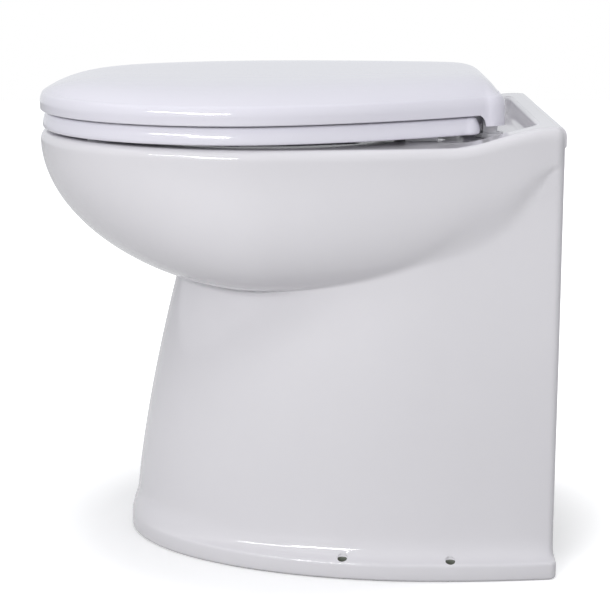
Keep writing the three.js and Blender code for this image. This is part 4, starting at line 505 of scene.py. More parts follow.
def turned(points, sides, centre, axis):
    """Solid of revolution: a profile of radius and place along the axis, spun all the way."""
    along = AXES[axis]
    out = AXES["y" if axis == "x" else "x"]
    centre = Vector(centre)
    mesh = bmesh.new()
    profile = [mesh.verts.new((centre + out * radius + along * place) * MM)
               for radius, place in points]
    edges = [mesh.edges.new(pair) for pair in zip(profile, profile[1:])]
    bmesh.ops.spin(mesh, geom=profile + edges, cent=centre * MM, axis=along, angle=FULL_TURN,
                   steps=sides, use_merge=True)
    bmesh.ops.remove_doubles(mesh, verts=mesh.verts, dist=HAIR)
    bmesh.ops.recalc_face_normals(mesh, faces=mesh.faces)
    return mesh_object(mesh, "turned")


EDGE_STEPS = 4


def rod(radius, low, high, centre, axis, sides=64, edge=0.0):
    """Round rod between two places along an axis, with rounded ends if an edge is given."""
    turns = np.linspace(0, QUARTER, EDGE_STEPS + 1) if edge else [QUARTER]
    start = [(radius - edge * (1 - math.sin(turn)), low + edge * (1 - math.cos(turn)))
             for turn in turns]
    end = [(reach, low + high - place) for reach, place in reversed(start)]
    return turned([(0, low)] + start + end + [(0, high)], sides, centre, axis)


def prism(outline, low, high, axis):
    """Flat outline pushed along an axis; the outline holds the other two coordinates in order."""
    along = AXES[axis]
    first, second = (AXES[other] for other in "xyz" if other != axis)
    mesh = bmesh.new()
    face = mesh.faces.new([mesh.verts.new((first * a + second * b + along * low) * MM)
                           for a, b in outline])
    pushed = bmesh.ops.extrude_face_region(mesh, geom=[face])["geom"]
    moved = [part for part in pushed if isinstance(part, bmesh.types.BMVert)]
    bmesh.ops.translate(mesh, verts=moved, vec=along * (high - low) * MM)
    bmesh.ops.recalc_face_normals(mesh, faces=mesh.faces)
    return mesh_object(mesh, "prism")


def box(x0, x1, y0, y1, z0, z1):
    return prism([(x0, y0), (x1, y0), (x1, y1), (x0, y1)], z0, z1, "z")


def arc(centre, radius, start, end, steps):
    """Points of an arc in its plane, its angles in degrees."""
    angles = np.radians(np.linspace(start, end, steps + 1))
    return np.column_stack(
        [centre[0] + radius * np.cos(angles), centre[1] + radius * np.sin(angles)])


# China bowl
def rise_at(y):
    """How far the border stands above the rim at a place from front to back."""
    start, end = BACK_Y - BORDER_RAMP_START, BACK_Y - BORDER_RAMP_END
    share = np.clip((np.asarray(y, float) - start) / (end - start), 0, 1)
    return BORDER_RISE * share * share * (3 - 2 * share)


def row_share(share, power):
    return (1 - np.clip(share, 0, 1) ** power) ** (1 / power)


def bulge_half(height, wall=0.0, most=1.0, front=90, side=60, corner=12):
    """Right half of the bulge's outline at a height, and the share of its depth at each point."""
    angle = np.linspace(0, QUARTER, front, endpoint=False)
    depth = BULGE_FRONT_DEPTH + (BULGE_SIDE_DEPTH - BULGE_FRONT_DEPTH) * np.sin(angle) ** 2
    down = max(FULL_HEIGHT - height, 0)
    share = np.minimum(down / depth, most)
    half_width = RIM_HALF * row_share(share, BULGE_SIDE_POWER) - wall
    length = RIM_FRONT_LENGTH * row_share(share, BULGE_FRONT_POWER) - wall
    points = [np.column_stack([half_width * np.sin(angle), WIDEST_Y - length * np.cos(angle)])]
    shares = [share]
    end_y = WALL_BACK_Y - wall - RIM_CORNER
    turn = np.linspace(0, QUARTER, corner + 1)[1:]
    y = np.concatenate([np.linspace(WIDEST_Y, end_y, side + 1), np.full(corner, end_y)])
    inset = np.concatenate([np.zeros(side + 1), RIM_CORNER * (1 - np.cos(turn))])
    ahead = np.concatenate([np.zeros(side + 1), RIM_CORNER * np.sin(turn)])
    along = (y - WIDEST_Y) / (BACK_Y - WIDEST_Y)
    width = RIM_HALF - (RIM_HALF - DECK_HALF) * along ** RIM_SIDE_POWER
    depth = BULGE_SIDE_DEPTH - (BULGE_SIDE_DEPTH - BULGE_BACK_DEPTH) * along ** BULGE_DEPTH_POWER
    power = BULGE_SIDE_POWER + (BULGE_BACK_POWER - BULGE_SIDE_POWER) * along
    share = np.minimum(down / depth, most)
    points.append(np.column_stack(
        [width * row_share(share, power) - wall - inset, y + ahead]))
    shares.append(share)
    return np.vstack(points), np.concatenate(shares)


def pedestal_front(height):
    share = max(0.0, height - FOOT_TOP) / PEDESTAL_TAPER_HEIGHT
    return FRONT_Y + PEDESTAL_FRONT_INSET + PEDESTAL_FRONT_TAPER * share ** PEDESTAL_TAPER_POWER


def pedestal_half(height, front_reach=0.0, side_reach=0.0, back=WALL_BACK_Y, steps=80):
    """Right half of the pedestal's outline at a height, front to back."""
    share = min(max((height - FOOT_TOP) / (PEDESTAL_TOP - FOOT_TOP), 0), 1)
    back_half = PEDESTAL_BACK_HALF - PEDESTAL_TAPER * share + side_reach
    widest = back_half + PEDESTAL_SWELL * (1 - share) ** 2
    reach = PEDESTAL_WIDEST_Y - pedestal_front(height) + front_reach
    angle = np.linspace(0, QUARTER, steps, endpoint=False)
    front = np.column_stack([widest * np.sin(angle), PEDESTAL_WIDEST_Y - reach * np.cos(angle)])
    end_y = back - PEDESTAL_CORNER
    along = np.linspace(0, 1, steps // 4)
    side = np.column_stack([widest - (widest - back_half) * along ** 2,
                            PEDESTAL_WIDEST_Y + (end_y - PEDESTAL_WIDEST_Y) * along])
    turn = np.linspace(0, QUARTER, 9)[1:]
    corner = np.column_stack([back_half - PEDESTAL_CORNER * (1 - np.cos(turn)),
                              end_y + PEDESTAL_CORNER * np.sin(turn)])
    return np.vstack([front, side, corner])


SHELL_CENTRE_Y = 60.0
# Foot: height, share of its reach on the flanks, where a ledge is hollowed out, and inset
FOOT_ROWS = (
    (0, 1, 3.0), (0.6, 1, 2.2), (1.3, 1, 1.1), (2.2, 1, 0.3), (3.4, 1, 0), (9, 1, 0),
    (13.8, 1, 0), (15.3, 0.99, 0), (16.4, 0.965, 0), (17.1, 0.92, 0), (17.7, 0.83, 0),
    (18.3, 0.7, 0), (19.1, 0.55, 0), (20.3, 0.4, 0), (22.4, 0.25, 0), (25.5, 0.13, 0),
    (29.5, 0.05, 0), (34, 0.01, 0), (39, 0, 0), (44, 0, 0))
FLARE_LOW = 13.0
FLARE_HIGH = 44.0
LEDGE_START_Y = -160.0
LEDGE_FULL_Y = -70.0
WALL_DRAW = 4.0
WALL_DRAW_HEIGHT = 240.0


def smooth_step(value, low, high):
    share = np.clip((np.asarray(value, float) - low) / (high - low), 0, 1)
    return share * share * (3 - 2 * share)


def drawn_wall(height):
    """Pedestal wall, its flanks drawn in a little above the foot to leave room for the ledge."""
    wall = pedestal_half(height)
    draw = WALL_DRAW * (1 - float(smooth_step(height, FOOT_TOP, WALL_DRAW_HEIGHT)))
    wall[:, 0] *= 1 - draw / PEDESTAL_BACK_HALF
    return wall


def shell_columns():
    """Directions from the shell's middle line, front to back, close together at the back corner."""
    half, _ = bulge_half(FULL_HEIGHT, front=70, side=44, corner=2)
    turns = np.arctan2(half[:, 0], SHELL_CENTRE_Y - half[:, 1])
    corner_start = math.atan2(PEDESTAL_BACK_HALF, SHELL_CENTRE_Y - (WALL_BACK_Y - CORNER_RUN))
    corner_end = math.atan2(DECK_HALF - CORNER_RUN, SHELL_CENTRE_Y - WALL_BACK_Y)
    return np.concatenate([turns[turns < corner_start - 0.01],
                           np.linspace(corner_start, corner_end, CORNER_COLUMNS),
                           np.linspace(corner_end, math.pi, BACK_COLUMNS)[1:]])


def reach_of(points, turns):
    """How far an outline reaches from the shell's middle line in each direction, 0 where it
    doesn't."""
    if len(points) < 2:
        return np.zeros(len(turns))
    ends = points[[0, -1]] * (0, 1)
    path = np.vstack([ends[:1], points, ends[1:]]) - (0, SHELL_CENTRE_Y)
    ways = np.column_stack([np.sin(turns), -np.cos(turns)])
    aside = ways[:, :1] * path[:, 1] - ways[:, 1:] * path[:, 0]
    ahead = ways @ path.T
    first, second = aside[:, :-1], aside[:, 1:]
    share = first / np.where(first == second, 1, first - second)
    met = (first * second <= HAIR) & (first != second)
    reach = ahead[:, :-1] + (ahead[:, 1:] - ahead[:, :-1]) * np.clip(share, 0, 1)
    return np.where(met, reach, 0).max(axis=1).clip(0)


def softer_max(a, b, width):
    """The larger of two values, blended where they are nearer to each other than a width."""
    near = np.maximum(width - np.abs(a - b), 0) / np.maximum(width, HAIR)
    return np.maximum(a, b) + near * near * width / 4


def china_shell():
    """Outside of the china from the floor to the rim, with the border and the lip at the back."""
    turns = shell_columns()
    side = np.column_stack([np.sin(turns), -np.cos(turns)])

    def loop(reach, height, back):
        straight = (back - SHELL_CENTRE_Y) / np.maximum(-np.cos(turns), HAIR)
        reach = np.where(np.cos(turns) < 0, np.minimum(reach, straight), reach)
        half = side * reach[:, None]
        half[:, 1] += SHELL_CENTRE_Y
        half[np.abs(half[:, 0]) < HAIR, 0] = 0
        return mirrored(at_height(half, height))

    rows = []
    foot = reach_of(pedestal_half(0, FOOT_FRONT_REACH, FOOT_SIDE_REACH, BACK_Y), turns)
    wall = reach_of(drawn_wall(FOOT_TOP), turns)
    flank = smooth_step(SHELL_CENTRE_Y + side[:, 1] * foot, LEDGE_START_Y, LEDGE_FULL_Y)
    for height, share, inset in FOOT_ROWS:
        now = wall if height <= FOOT_TOP else reach_of(drawn_wall(height), turns)
        flare = 1 - float(smooth_step(height, FLARE_LOW, FLARE_HIGH))
        reach = now + (foot - wall) * (share * flank + flare * (1 - flank)) - inset
        back = WALL_BACK_Y + LIP_PROUD * min(1, share * FOOT_BACK_GAIN)
        rows.append(loop(reach, height, back))
    for height in np.concatenate([np.linspace(*band) for band in WALL_BANDS]):
        wall = reach_of(drawn_wall(min(height, PEDESTAL_TOP)), turns)
        half, share = bulge_half(height)
        bulge = reach_of(half[share < BULGE_END], turns)
        wall_y = SHELL_CENTRE_Y + side[:, 1] * wall
        behind = smooth_step(wall_y, CREASE_BACK_START, CREASE_BACK_FULL) * (
            1 - smooth_step(wall_y, CREASE_BACK_FULL, WALL_BACK_Y - PEDESTAL_CORNER * 2))
        soft = CREASE_SOFTNESS + CREASE_BACK_SOFTNESS * behind
        soft *= min(1, (FULL_HEIGHT - height) / CREASE_FADE)
        rows.append(loop(softer_max(bulge, wall, soft), height, WALL_BACK_Y))
    full = rows[-1]
    rise = rise_at(full[:, 1])
    lip_low = RIM_HEIGHT + BORDER_RISE - LIP_HEIGHT

    def lipped(points):
        at_back = points[:, 1] > WALL_BACK_Y - BACK_NEAR
        proud = np.clip((points[:, 2] - lip_low) / LIP_STEP, 0, 1) * LIP_PROUD
        points[:, 1] = np.where(at_back, points[:, 1] + proud, points[:, 1])
        return points

    for share in RISE_SHARES:
        row = full.copy()
        row[:, 2] += rise * share
        rows.append(lipped(row))
    for angle in np.linspace(0, QUARTER, 9)[1:]:
        row = drawn_in(full, RIM_EDGE_WIDTH * (1 - math.cos(angle)))
        at_back = full[:, 1] > WALL_BACK_Y - BACK_NEAR
        row[:, 1] = np.where(at_back, row[:, 1] + LIP_PROUD, row[:, 1])
        row[:, 2] = FULL_HEIGHT + rise + RIM_EDGE * math.sin(angle)
        rows.append(row)
    edge = rows[-1]
    for share in TOP_SHARES:
        row = edge.copy()
        row[:, :2] *= 1 - share
        row[:, 2] = RIM_HEIGHT + rise_at(row[:, 1])
        rows.append(row)
    return rows_mesh(rows, "china")


def bowl_loop(height, grow, steps):
    """Outline of the inside of the bowl at a height, kept a wall's thickness behind its front."""
    top = RIM_HEIGHT - OPENING_EDGE
    share = min(max((top - height) / (top - SUMP_HEIGHT), 0), 1)
    fullness = (1 - share ** BOWL_DEPTH_POWER) ** BOWL_FULLNESS
    front = FRONT_Y + OPENING_FRONT_BAND
    middle = front + OPENING_LENGTH / 2
    centre = middle + (OUTLET_Y - middle) * share
    length = OUTLET_BORE + (OPENING_LENGTH / 2 - OUTLET_BORE) * fullness
    width = OUTLET_BORE + (RIM_HALF - OPENING_SIDE_BAND - OUTLET_BORE) * fullness
    below = max(height - SKIN_BELOW, FULL_HEIGHT - BULGE_FRONT_DEPTH)
    down = np.clip((FULL_HEIGHT - below) / BULGE_FRONT_DEPTH, 0, 1)
    bulge_front = WIDEST_Y - RIM_FRONT_LENGTH * float(row_share(down, BULGE_FRONT_POWER))
    limit = min(bulge_front, pedestal_front(height)) + CHINA_WALL
    reach = -float(softer_max(-length, limit - centre, BOWL_FRONT_SOFTNESS))
    angle = np.linspace(0, FULL_TURN, steps, endpoint=False)
    ahead = np.cos(angle) > 0
    along = np.where(ahead, reach, length) + grow
    return at_height(np.column_stack(
        [(width + grow) * np.sin(angle), centre - along * np.cos(angle)]), height)


def bowl_inside(grow, drop, steps, rows_count, flare):
    """Inside of the bowl as a solid, from the sump up past the rim, with its opening flared."""
    top = RIM_HEIGHT - OPENING_EDGE
    shares = np.sin(np.linspace(QUARTER, 0, rows_count))
    rows = []
    for share in shares:
        height = top - (top - SUMP_HEIGHT) * share
        row = bowl_loop(height, grow, steps)
        row[:, 2] -= drop
        rows.append(row)
    if flare:
        for angle in np.linspace(0, QUARTER, 7)[1:]:
            row = bowl_loop(top, grow + OPENING_EDGE * (1 - math.cos(angle)), steps)
            row[:, 2] = top + OPENING_EDGE * math.sin(angle)
            rows.append(row)
    last = rows[-1].copy()
    last[:, 2] = RIM_HEIGHT + BORDER_RISE * 2
    rows.append(last)
    return rows_mesh(rows, "bowl_inside")


def china_hollow():
    """Cutter for the hollow foot and bulge, which leaves the bowl and its outlet spigot."""
    back = WALL_BACK_Y - CHINA_WALL
    rows = [mirrored(at_height(
        pedestal_half(max(h, 0), -CHINA_WALL, -CHINA_WALL, back, 48), h)) for h in HOLLOW_ROWS]
    hollow = rows_mesh(rows, "hollow")
    rows = []
    for share in np.linspace(0, 1, 6):
        height = HOLLOW_SPLIT + (PEDESTAL_TOP - HOLLOW_SPLIT) * share
        half, _ = bulge_half(height, CHINA_WALL, BULGE_HOLLOW_SHARE, 48, 24, 6)
        rows.append(mirrored(at_height(half, height)))
    combined(hollow, [rows_mesh(rows, "bulge_hollow")], "UNION")
    kept = bowl_inside(BOWL_SKIN, BOWL_SKIN, 72, 20, False)
    spigot = rod(SPIGOT_RADIUS, SPIGOT_END, SUMP_HEIGHT + CHINA_WALL, (0, OUTLET_Y, 0), "z", 72,
                 SPIGOT_EDGE)
    return combined(hollow, [combined(kept, [spigot], "UNION")], "DIFFERENCE")


def deck_recess():
    """Cutter for the sunk deck, with a drafted wall and a rounded edge towards the border."""
    low, high = BACK_Y - RECESS_FORWARD, BACK_Y - BORDER_WIDTH
    half_width = DECK_HALF - BORDER_WIDTH

    def loop(inset):
        side = np.column_stack([np.full(24, half_width - inset),
                                np.linspace(low + 1, high - BORDER_CORNER - 1, 24)])
        corner = arc((half_width - inset - BORDER_CORNER, high - inset - BORDER_CORNER),
                     BORDER_CORNER, 0, 90, 12)
        half = np.vstack([[(0, low), (half_width - inset, low)], side, corner,
                          [(0, high - inset)]])
        left = half[half[:, 0] > 0][::-1] * (-1, 1)
        return np.vstack([half, left])

    rows = []
    floor = RIM_HEIGHT + RECESS_LIFT
    for share in np.linspace(0, 1, 8):
        angle = share * QUARTER
        row = loop(BORDER_DRAFT * (1 - math.sin(angle)))
        wall = rise_at(row[:, 1]) * RECESS_WALL_SHARE
        rows.append(at_height(row, floor + wall * (1 - math.cos(angle)) + share * RECESS_STEP))
    for angle in np.linspace(0, QUARTER, 6):
        row = loop(-BORDER_EDGE * (1 - math.cos(angle)))
        rise = rise_at(row[:, 1])
        edge = np.minimum(rise * (1 - RECESS_WALL_SHARE), BORDER_EDGE)
        rows.append(at_height(row, floor + RECESS_STEP * 2 + rise * RECESS_WALL_SHARE
                              + edge * math.sin(angle)))
    last = rows[-1].copy()
    last[:, 2] = RIM_HEIGHT + BORDER_RISE * 2
    rows.append(last)
    return rows_mesh(rows, "recess")


def rounded_outline(x0, x1, z0, z1, radius, steps=10):
    return np.vstack([
        arc((x1 - radius, z0 + radius), radius, -90, 0, steps),
        arc((x1 - radius, z1 - radius), radius, 0, 90, steps),
        arc((x0 + radius, z1 - radius), radius, 90, 180, steps),
        arc((x0 + radius, z0 + radius), radius, 180, 270, steps)])


def rear_door():
    """Cutter for the opening in the back wall, with its outer edge rounded over."""
    places = [(WALL_BACK_Y - CHINA_WALL * 2, 0)]
    for angle in np.linspace(0, QUARTER, 7):
        places.append((WALL_BACK_Y - DOOR_EDGE * (1 - math.sin(angle)),
                       DOOR_EDGE * (1 - math.cos(angle))))
    places.append((BACK_Y + DOOR_OVERRUN, DOOR_EDGE))
    rows = []
    for y, grow in places:
        flat = rounded_outline(-DOOR_HALF - grow, DOOR_HALF + grow, DOOR_BELOW - grow,
                               DOOR_HEIGHT + grow, DOOR_CORNER + grow)
        rows.append(np.column_stack([flat[:, 0], np.full(len(flat), y), flat[:, 1]]))
    return rows_mesh(rows, "door")


def fixing_hole(x, y):
    """Cutter for a hole in the foot, with a softened mouth."""
    points = [(0, HOLE_START), (HOLE_RADIUS, HOLE_START)]
    for angle in np.linspace(0, QUARTER, 6):
        points.append((HOLE_RADIUS + HOLE_MOUTH * (1 - math.cos(angle)),
                       FOOT_FACE + HOLE_MOUTH_DEPTH * math.sin(angle)))
    points += [(HOLE_RADIUS + HOLE_MOUTH, HOLE_REACH), (0, HOLE_REACH)]
    return turned(points, 40, (x, y, 0), "z")


china = china_shell()
cutters = [
    china_hollow(),
    bowl_inside(0, 0, 160, 44, True),
    rod(OUTLET_BORE, SPIGOT_END - OUTLET_OVERRUN, SUMP_HEIGHT + 1, (0, OUTLET_Y, 0), "z", 160),
    rear_door(),
    deck_recess(),
    rod(NOZZLE_RADIUS, OUTLET_Y, NOZZLE_BORE_END, (0, 0, NOZZLE_HEIGHT), "y", 40),
]
for sign in (-1, 1):
    cutters.append(rod(HINGE_BOLT_BORE, PEDESTAL_TOP - OVERRUN, RIM_HEIGHT + BORDER_RISE,
                       (sign * HINGE_X, HINGE_Y, 0), "z", 32))
    for hole_y in HOLE_PLACES:
        cutters.append(fixing_hole(sign * hole_x_at(hole_y), hole_y))
combined(china, cutters, "DIFFERENCE")
dressed(china, "glazed_china", "toilet", ["china_bowl"], 38)


# Seat ring and lid
def tilted(piece):
    """Sets a piece drawn lying flat onto the rim, tilted up a little towards the back."""
    coords = np.empty(len(piece.data.vertices) * 3)
    piece.data.vertices.foreach_get("co", coords)
    coords = coords.reshape(-1, 3) / MM
    y, z = coords[:, 1] - SEAT_PIVOT_Y, coords[:, 2].copy()
    coords[:, 1] = SEAT_PIVOT_Y + y * math.cos(SEAT_TILT) - z * math.sin(SEAT_TILT)
    coords[:, 2] = SEAT_LIFT + y * math.sin(SEAT_TILT) + z * math.cos(SEAT_TILT)
    piece.data.vertices.foreach_set("co", (coords * MM).ravel())
    piece.data.update()
    return piece


def seat_plan(inset, rear_y, corner, front_steps=80, side_steps=60, corner_steps=14):
    """Plan of the seat and the lid, drawn in by a distance all round."""
    angle = np.linspace(0, QUARTER, front_steps, endpoint=False)
    front = np.column_stack(
        [SEAT_HALF * np.sin(angle), SEAT_WIDEST_Y - SEAT_FRONT_LENGTH * np.cos(angle)])
    end_y = rear_y - corner
    y = np.linspace(SEAT_WIDEST_Y, end_y, side_steps + 1)
    along = np.maximum(0, (y - SEAT_WIDEST_Y) / (LID_REAR_Y - SEAT_WIDEST_Y))
    width = SEAT_HALF - (SEAT_HALF - SEAT_REAR_HALF) * along ** SEAT_REAR_POWER
    turn = np.linspace(0, QUARTER, corner_steps + 1)[1:]
    rear = np.column_stack([width[-1] - corner * (1 - np.cos(turn)), end_y + corner * np.sin(turn)])
    back_x = np.linspace(rear[-1, 0], 0, side_steps // 3)[1:]
    back = np.column_stack([back_x, np.full(len(back_x), rear[-1, 1])])
    whole = mirrored(np.vstack([front, np.column_stack([width, y]), rear, back]))
    return drawn_in(whole, inset)


HINGE_RUN = HINGE_Y - SEAT_PIVOT_Y
HINGE_LIFT = HINGE_Z - SEAT_LIFT
HINGE_FLAT_Y = SEAT_PIVOT_Y + HINGE_RUN * math.cos(SEAT_TILT) + HINGE_LIFT * math.sin(SEAT_TILT)
HINGE_FLAT_Z = HINGE_LIFT * math.cos(SEAT_TILT) - HINGE_RUN * math.sin(SEAT_TILT)


def pin_bore(low, high):
    return rod(PIN_RADIUS + PIN_CLEARANCE, low - 1, high + 1, (0, HINGE_FLAT_Y, HINGE_FLAT_Z),
               "x", 32)


def make_seat():
    """Seat ring with a leaning, slightly crowned side, and the two ears at its back."""
    def ring(inset, height):
        plan = seat_plan(SEAT_INSET + inset, SEAT_REAR_Y + SEAT_INSET, SEAT_CORNER)
        return at_height(plan, height)

    rows = []
    for angle in np.linspace(0, QUARTER, 5):
        rows.append(ring(SEAT_UNDER_EDGE * (1 - math.sin(angle)),
                         SEAT_UNDER_EDGE * (1 - math.cos(angle))))
    side_top = SEAT_THICKNESS - SEAT_TOP_EDGE
    for height in np.linspace(SEAT_UNDER_EDGE, side_top, 9)[1:]:
        rows.append(ring(SEAT_SIDE_BEND * (height - SEAT_UNDER_EDGE) ** 2, height))
    lean = SEAT_SIDE_BEND * (side_top - SEAT_UNDER_EDGE) ** 2
    for angle in np.linspace(0, QUARTER, 9)[1:]:
        across = SEAT_TOP_REACH * math.sin(angle / 2) ** 2 + SEAT_TOP_SLOPE * math.sin(angle)
        rows.append(ring(lean + SEAT_TOP_EDGE * across,
                         side_top + SEAT_TOP_EDGE * math.sin(angle)))
    seat = rows_mesh(rows, "seat")

    centre = SEAT_FRONT_Y + SEAT_HOLE_FRONT + SEAT_HOLE_LENGTH / 2
    around = np.linspace(0, FULL_TURN, 150, endpoint=False)

    def hole(grow, height):
        return at_height(np.column_stack(
            [(SEAT_HOLE_HALF + grow) * np.cos(around),
             centre + (SEAT_HOLE_LENGTH / 2 + grow) * np.sin(around)]), height)

    rows = [hole(SEAT_HOLE_UNDER_EDGE, -1)]
    for angle in np.linspace(0, QUARTER, 5):
        rows.append(hole(SEAT_HOLE_UNDER_EDGE * (1 - math.sin(angle)),
                         SEAT_HOLE_UNDER_EDGE * (1 - math.cos(angle))))
    for angle in np.linspace(0, QUARTER, 9):
        rows.append(hole(SEAT_HOLE_EDGE * (1 - math.cos(angle)),
                         SEAT_THICKNESS - SEAT_HOLE_EDGE * (1 - math.sin(angle))))
    rows.append(hole(SEAT_HOLE_EDGE, SEAT_THICKNESS + OVERRUN))
    combined(seat, [rows_mesh(rows, "seat_hole")], "DIFFERENCE")
    web = SEAT_REAR_Y - SEAT_EDGE - SEAT_UNDER_EDGE
    inner = HINGE_X - POST_HALF - EAR_GAP
    for sign in (-1, 1):
        ear = np.vstack([[(web, SEAT_UNDER_EDGE)],
                         arc((HINGE_FLAT_Y, HINGE_FLAT_Z), BARREL, -90, 90, 20),
                         [(web, SEAT_THICKNESS - EAR_SINK)]])
        low, high = sorted((sign * (inner - EAR_WIDTH), sign * inner))
        combined(seat, [prism(ear, low, high, "x")], "UNION")
        combined(seat, [pin_bore(low, high)], "DIFFERENCE")
    return tilted(seat)


def crown_height(row, half):
    """Height of the lid's crown over its edge: nearly level, and falling away close to the edge.
    The edge's right half gives the lid's width at each place."""
    x, y = np.abs(row[:, 0]), row[:, 1] - LID_CROWN_MIDDLE
    width = np.interp(row[:, 1], half[:, 1], half[:, 0])
    across = np.clip(x / np.maximum(width, 1), 0, 1)
    ahead = np.clip(y / (half[0, 1] - LID_CROWN_MIDDLE), 0, 1)
    behind = np.clip(y / (half[-1, 1] - LID_CROWN_MIDDLE), 0, 1)
    return LID_CROWN * (1 - across ** LID_SIDE_POWER) * (1 - ahead ** LID_FRONT_POWER) * (
        1 - behind ** LID_REAR_POWER)


def lid_ring(inset, height):
    return at_height(seat_plan(inset, LID_REAR_Y, LID_CORNER), height)


def lid_cover():
    """Outside of the lid without its rear corners, filled solid."""
    rows = []
    for angle in np.linspace(0, QUARTER, 5):
        rows.append(lid_ring(LID_UNDER_EDGE * (1 - math.sin(angle)),
                             LID_LOW + LID_UNDER_EDGE * (1 - math.cos(angle))))
    for height in np.linspace(LID_BEND, LID_SHOULDER, 10)[:-1]:
        rows.append(lid_ring(LID_SIDE_BEND * (height - LID_BEND) ** 2, height))
    lean = LID_SIDE_BEND * (LID_SHOULDER - LID_BEND) ** 2
    for angle in np.linspace(LID_EDGE_START, LID_EDGE_TURN, 11):
        across = LID_EDGE_WIDTH * (math.cos(LID_EDGE_START) - math.cos(angle))
        up = LID_EDGE_HEIGHT * (math.sin(angle) - math.sin(LID_EDGE_START))
        rows.append(lid_ring(lean + across, LID_SHOULDER + up))
    edge = rows[-1]
    half = edge[edge[:, 0] >= 0]
    half = half[np.argsort(half[:, 1])]
    for share in np.linspace(0, 1, LID_CROWN_ROWS)[1:-1] ** 2:
        row = edge.copy()
        row[:, 0] *= 1 - share
        row[:, 1] = LID_CROWN_MIDDLE + (row[:, 1] - LID_CROWN_MIDDLE) * (1 - share)
        row[:, 2] += crown_height(row, half)
        rows.append(row)
    return rows_mesh(rows, "lid_cover")


def lid_lobes():
    """Rear corners of the lid, which dip below its edge with a curved front."""
    skirt = rows_mesh([lid_ring(0, LID_LOW - LOBE_DROP), lid_ring(0, LID_BEND)], "skirt")
    front = LID_REAR_Y - LOBE_LENGTH
    share = np.linspace(0, 1, 12)[:, None]
    start = np.array((front - LOBE_SLANT, LID_LOW))
    pull = np.array((front, LID_LOW - LOBE_DROP / 3))
    end = np.array((front, LID_LOW - LOBE_DROP))
    bend = (1 - share) ** 2 * start + 2 * share * (1 - share) * pull + share ** 2 * end
    lobe = np.vstack([
        [(LID_REAR_Y + 1, LID_LOW - LOBE_DROP - 1), (LID_REAR_Y + 1, LID_BEND - 1),
         (front - LOBE_SLANT, LID_BEND - 1)], bend, [(front, LID_LOW - LOBE_DROP - 1)]])
    return combined(skirt, [prism(lobe, -SEAT_HALF, SEAT_HALF, "x")], "INTERSECT")


def lid_cavity():
    """Cutter for the hollow underside of the lid."""
    return rows_mesh([
        lid_ring(LID_WALL, LID_LOW - LOBE_DROP - OVERRUN),
        lid_ring(LID_WALL, LID_SHOULDER - LID_WALL),
        lid_ring(LID_WALL + CAVITY_BEVEL / 3, LID_UNDERSIDE - CAVITY_BEVEL / 3),
        lid_ring(LID_WALL + CAVITY_BEVEL * CAVITY_TOP_SHARE, LID_UNDERSIDE)], "cavity")


def make_lid():
    """Lid with its hollow underside, its ears, and the bosses that hold its buffers."""
    lid = lid_cover()
    combined(lid, [lid_lobes()], "UNION")
    combined(lid, [lid_cavity()], "DIFFERENCE")
    sunk = LID_UNDERSIDE + EAR_SINK
    reach = POST_HALF + NOTCH_CLEARANCE
    outer = HINGE_X + POST_HALF + EAR_GAP
    for sign in (-1, 1):
        middle_x = sign * HINGE_X
        notch = box(middle_x - reach, middle_x + reach, HINGE_FLAT_Y - BARREL - NOTCH_CLEARANCE,
                    LID_REAR_Y + OVERRUN, LID_LOW - LOBE_DROP - OVERRUN,
                    HINGE_FLAT_Z + BARREL + NOTCH_CLEARANCE)
        combined(lid, [notch], "DIFFERENCE")
        ear = np.vstack([[(HINGE_FLAT_Y + BARREL, sunk), (HINGE_FLAT_Y - BARREL, sunk)],
                         arc((HINGE_FLAT_Y, HINGE_FLAT_Z), BARREL, 180, 360, 20)])
        low, high = sorted((sign * outer, sign * (outer + EAR_WIDTH)))
        combined(lid, [prism(ear, low, high, "x")], "UNION")
        combined(lid, [pin_bore(low, high)], "DIFFERENCE")
        boss = rod(BOSS_RADIUS, LID_LOW + BOSS_LIFT, sunk, (sign * BOSS_X, BOSS_Y, 0), "z", 40)
        combined(lid, [boss], "UNION")
    return tilted(lid)


dressed(make_seat(), "moulded_seat", "seat", ["seat_ring"], 40)
dressed(make_lid(), "moulded_seat", "lid", ["lid"], 40)


# The pieces from the frame that stay keep their shape and get their materials
for name, node in frame["nodes"].items():
    look = SLOT_LOOKS[NODE_SLOTS[name]]
    if not node.material_slots:
        node.data.materials.append(look)
    for place in node.material_slots:
        place.material = look


# Floor. To the camera and in reflections it is white with the object's shadow on it; to diffuse
# light it is grey, so that the undersides stay in shade. Away from the object it glows to white.
FLOOR_HALF = 4.0
FLOOR_BOUNCE = (0.4, 0.4, 0.4, 1)
FLOOR_SEEN = (0.97, 0.97, 0.97, 1)
FLOOR_ROUGHNESS = 0.8
FLOOR_SPECULAR = 0.1
GLOW_NEAR = 0.17
GLOW_FAR = 0.7
GLOW_START = 0.2
GLOW_END = 0.4


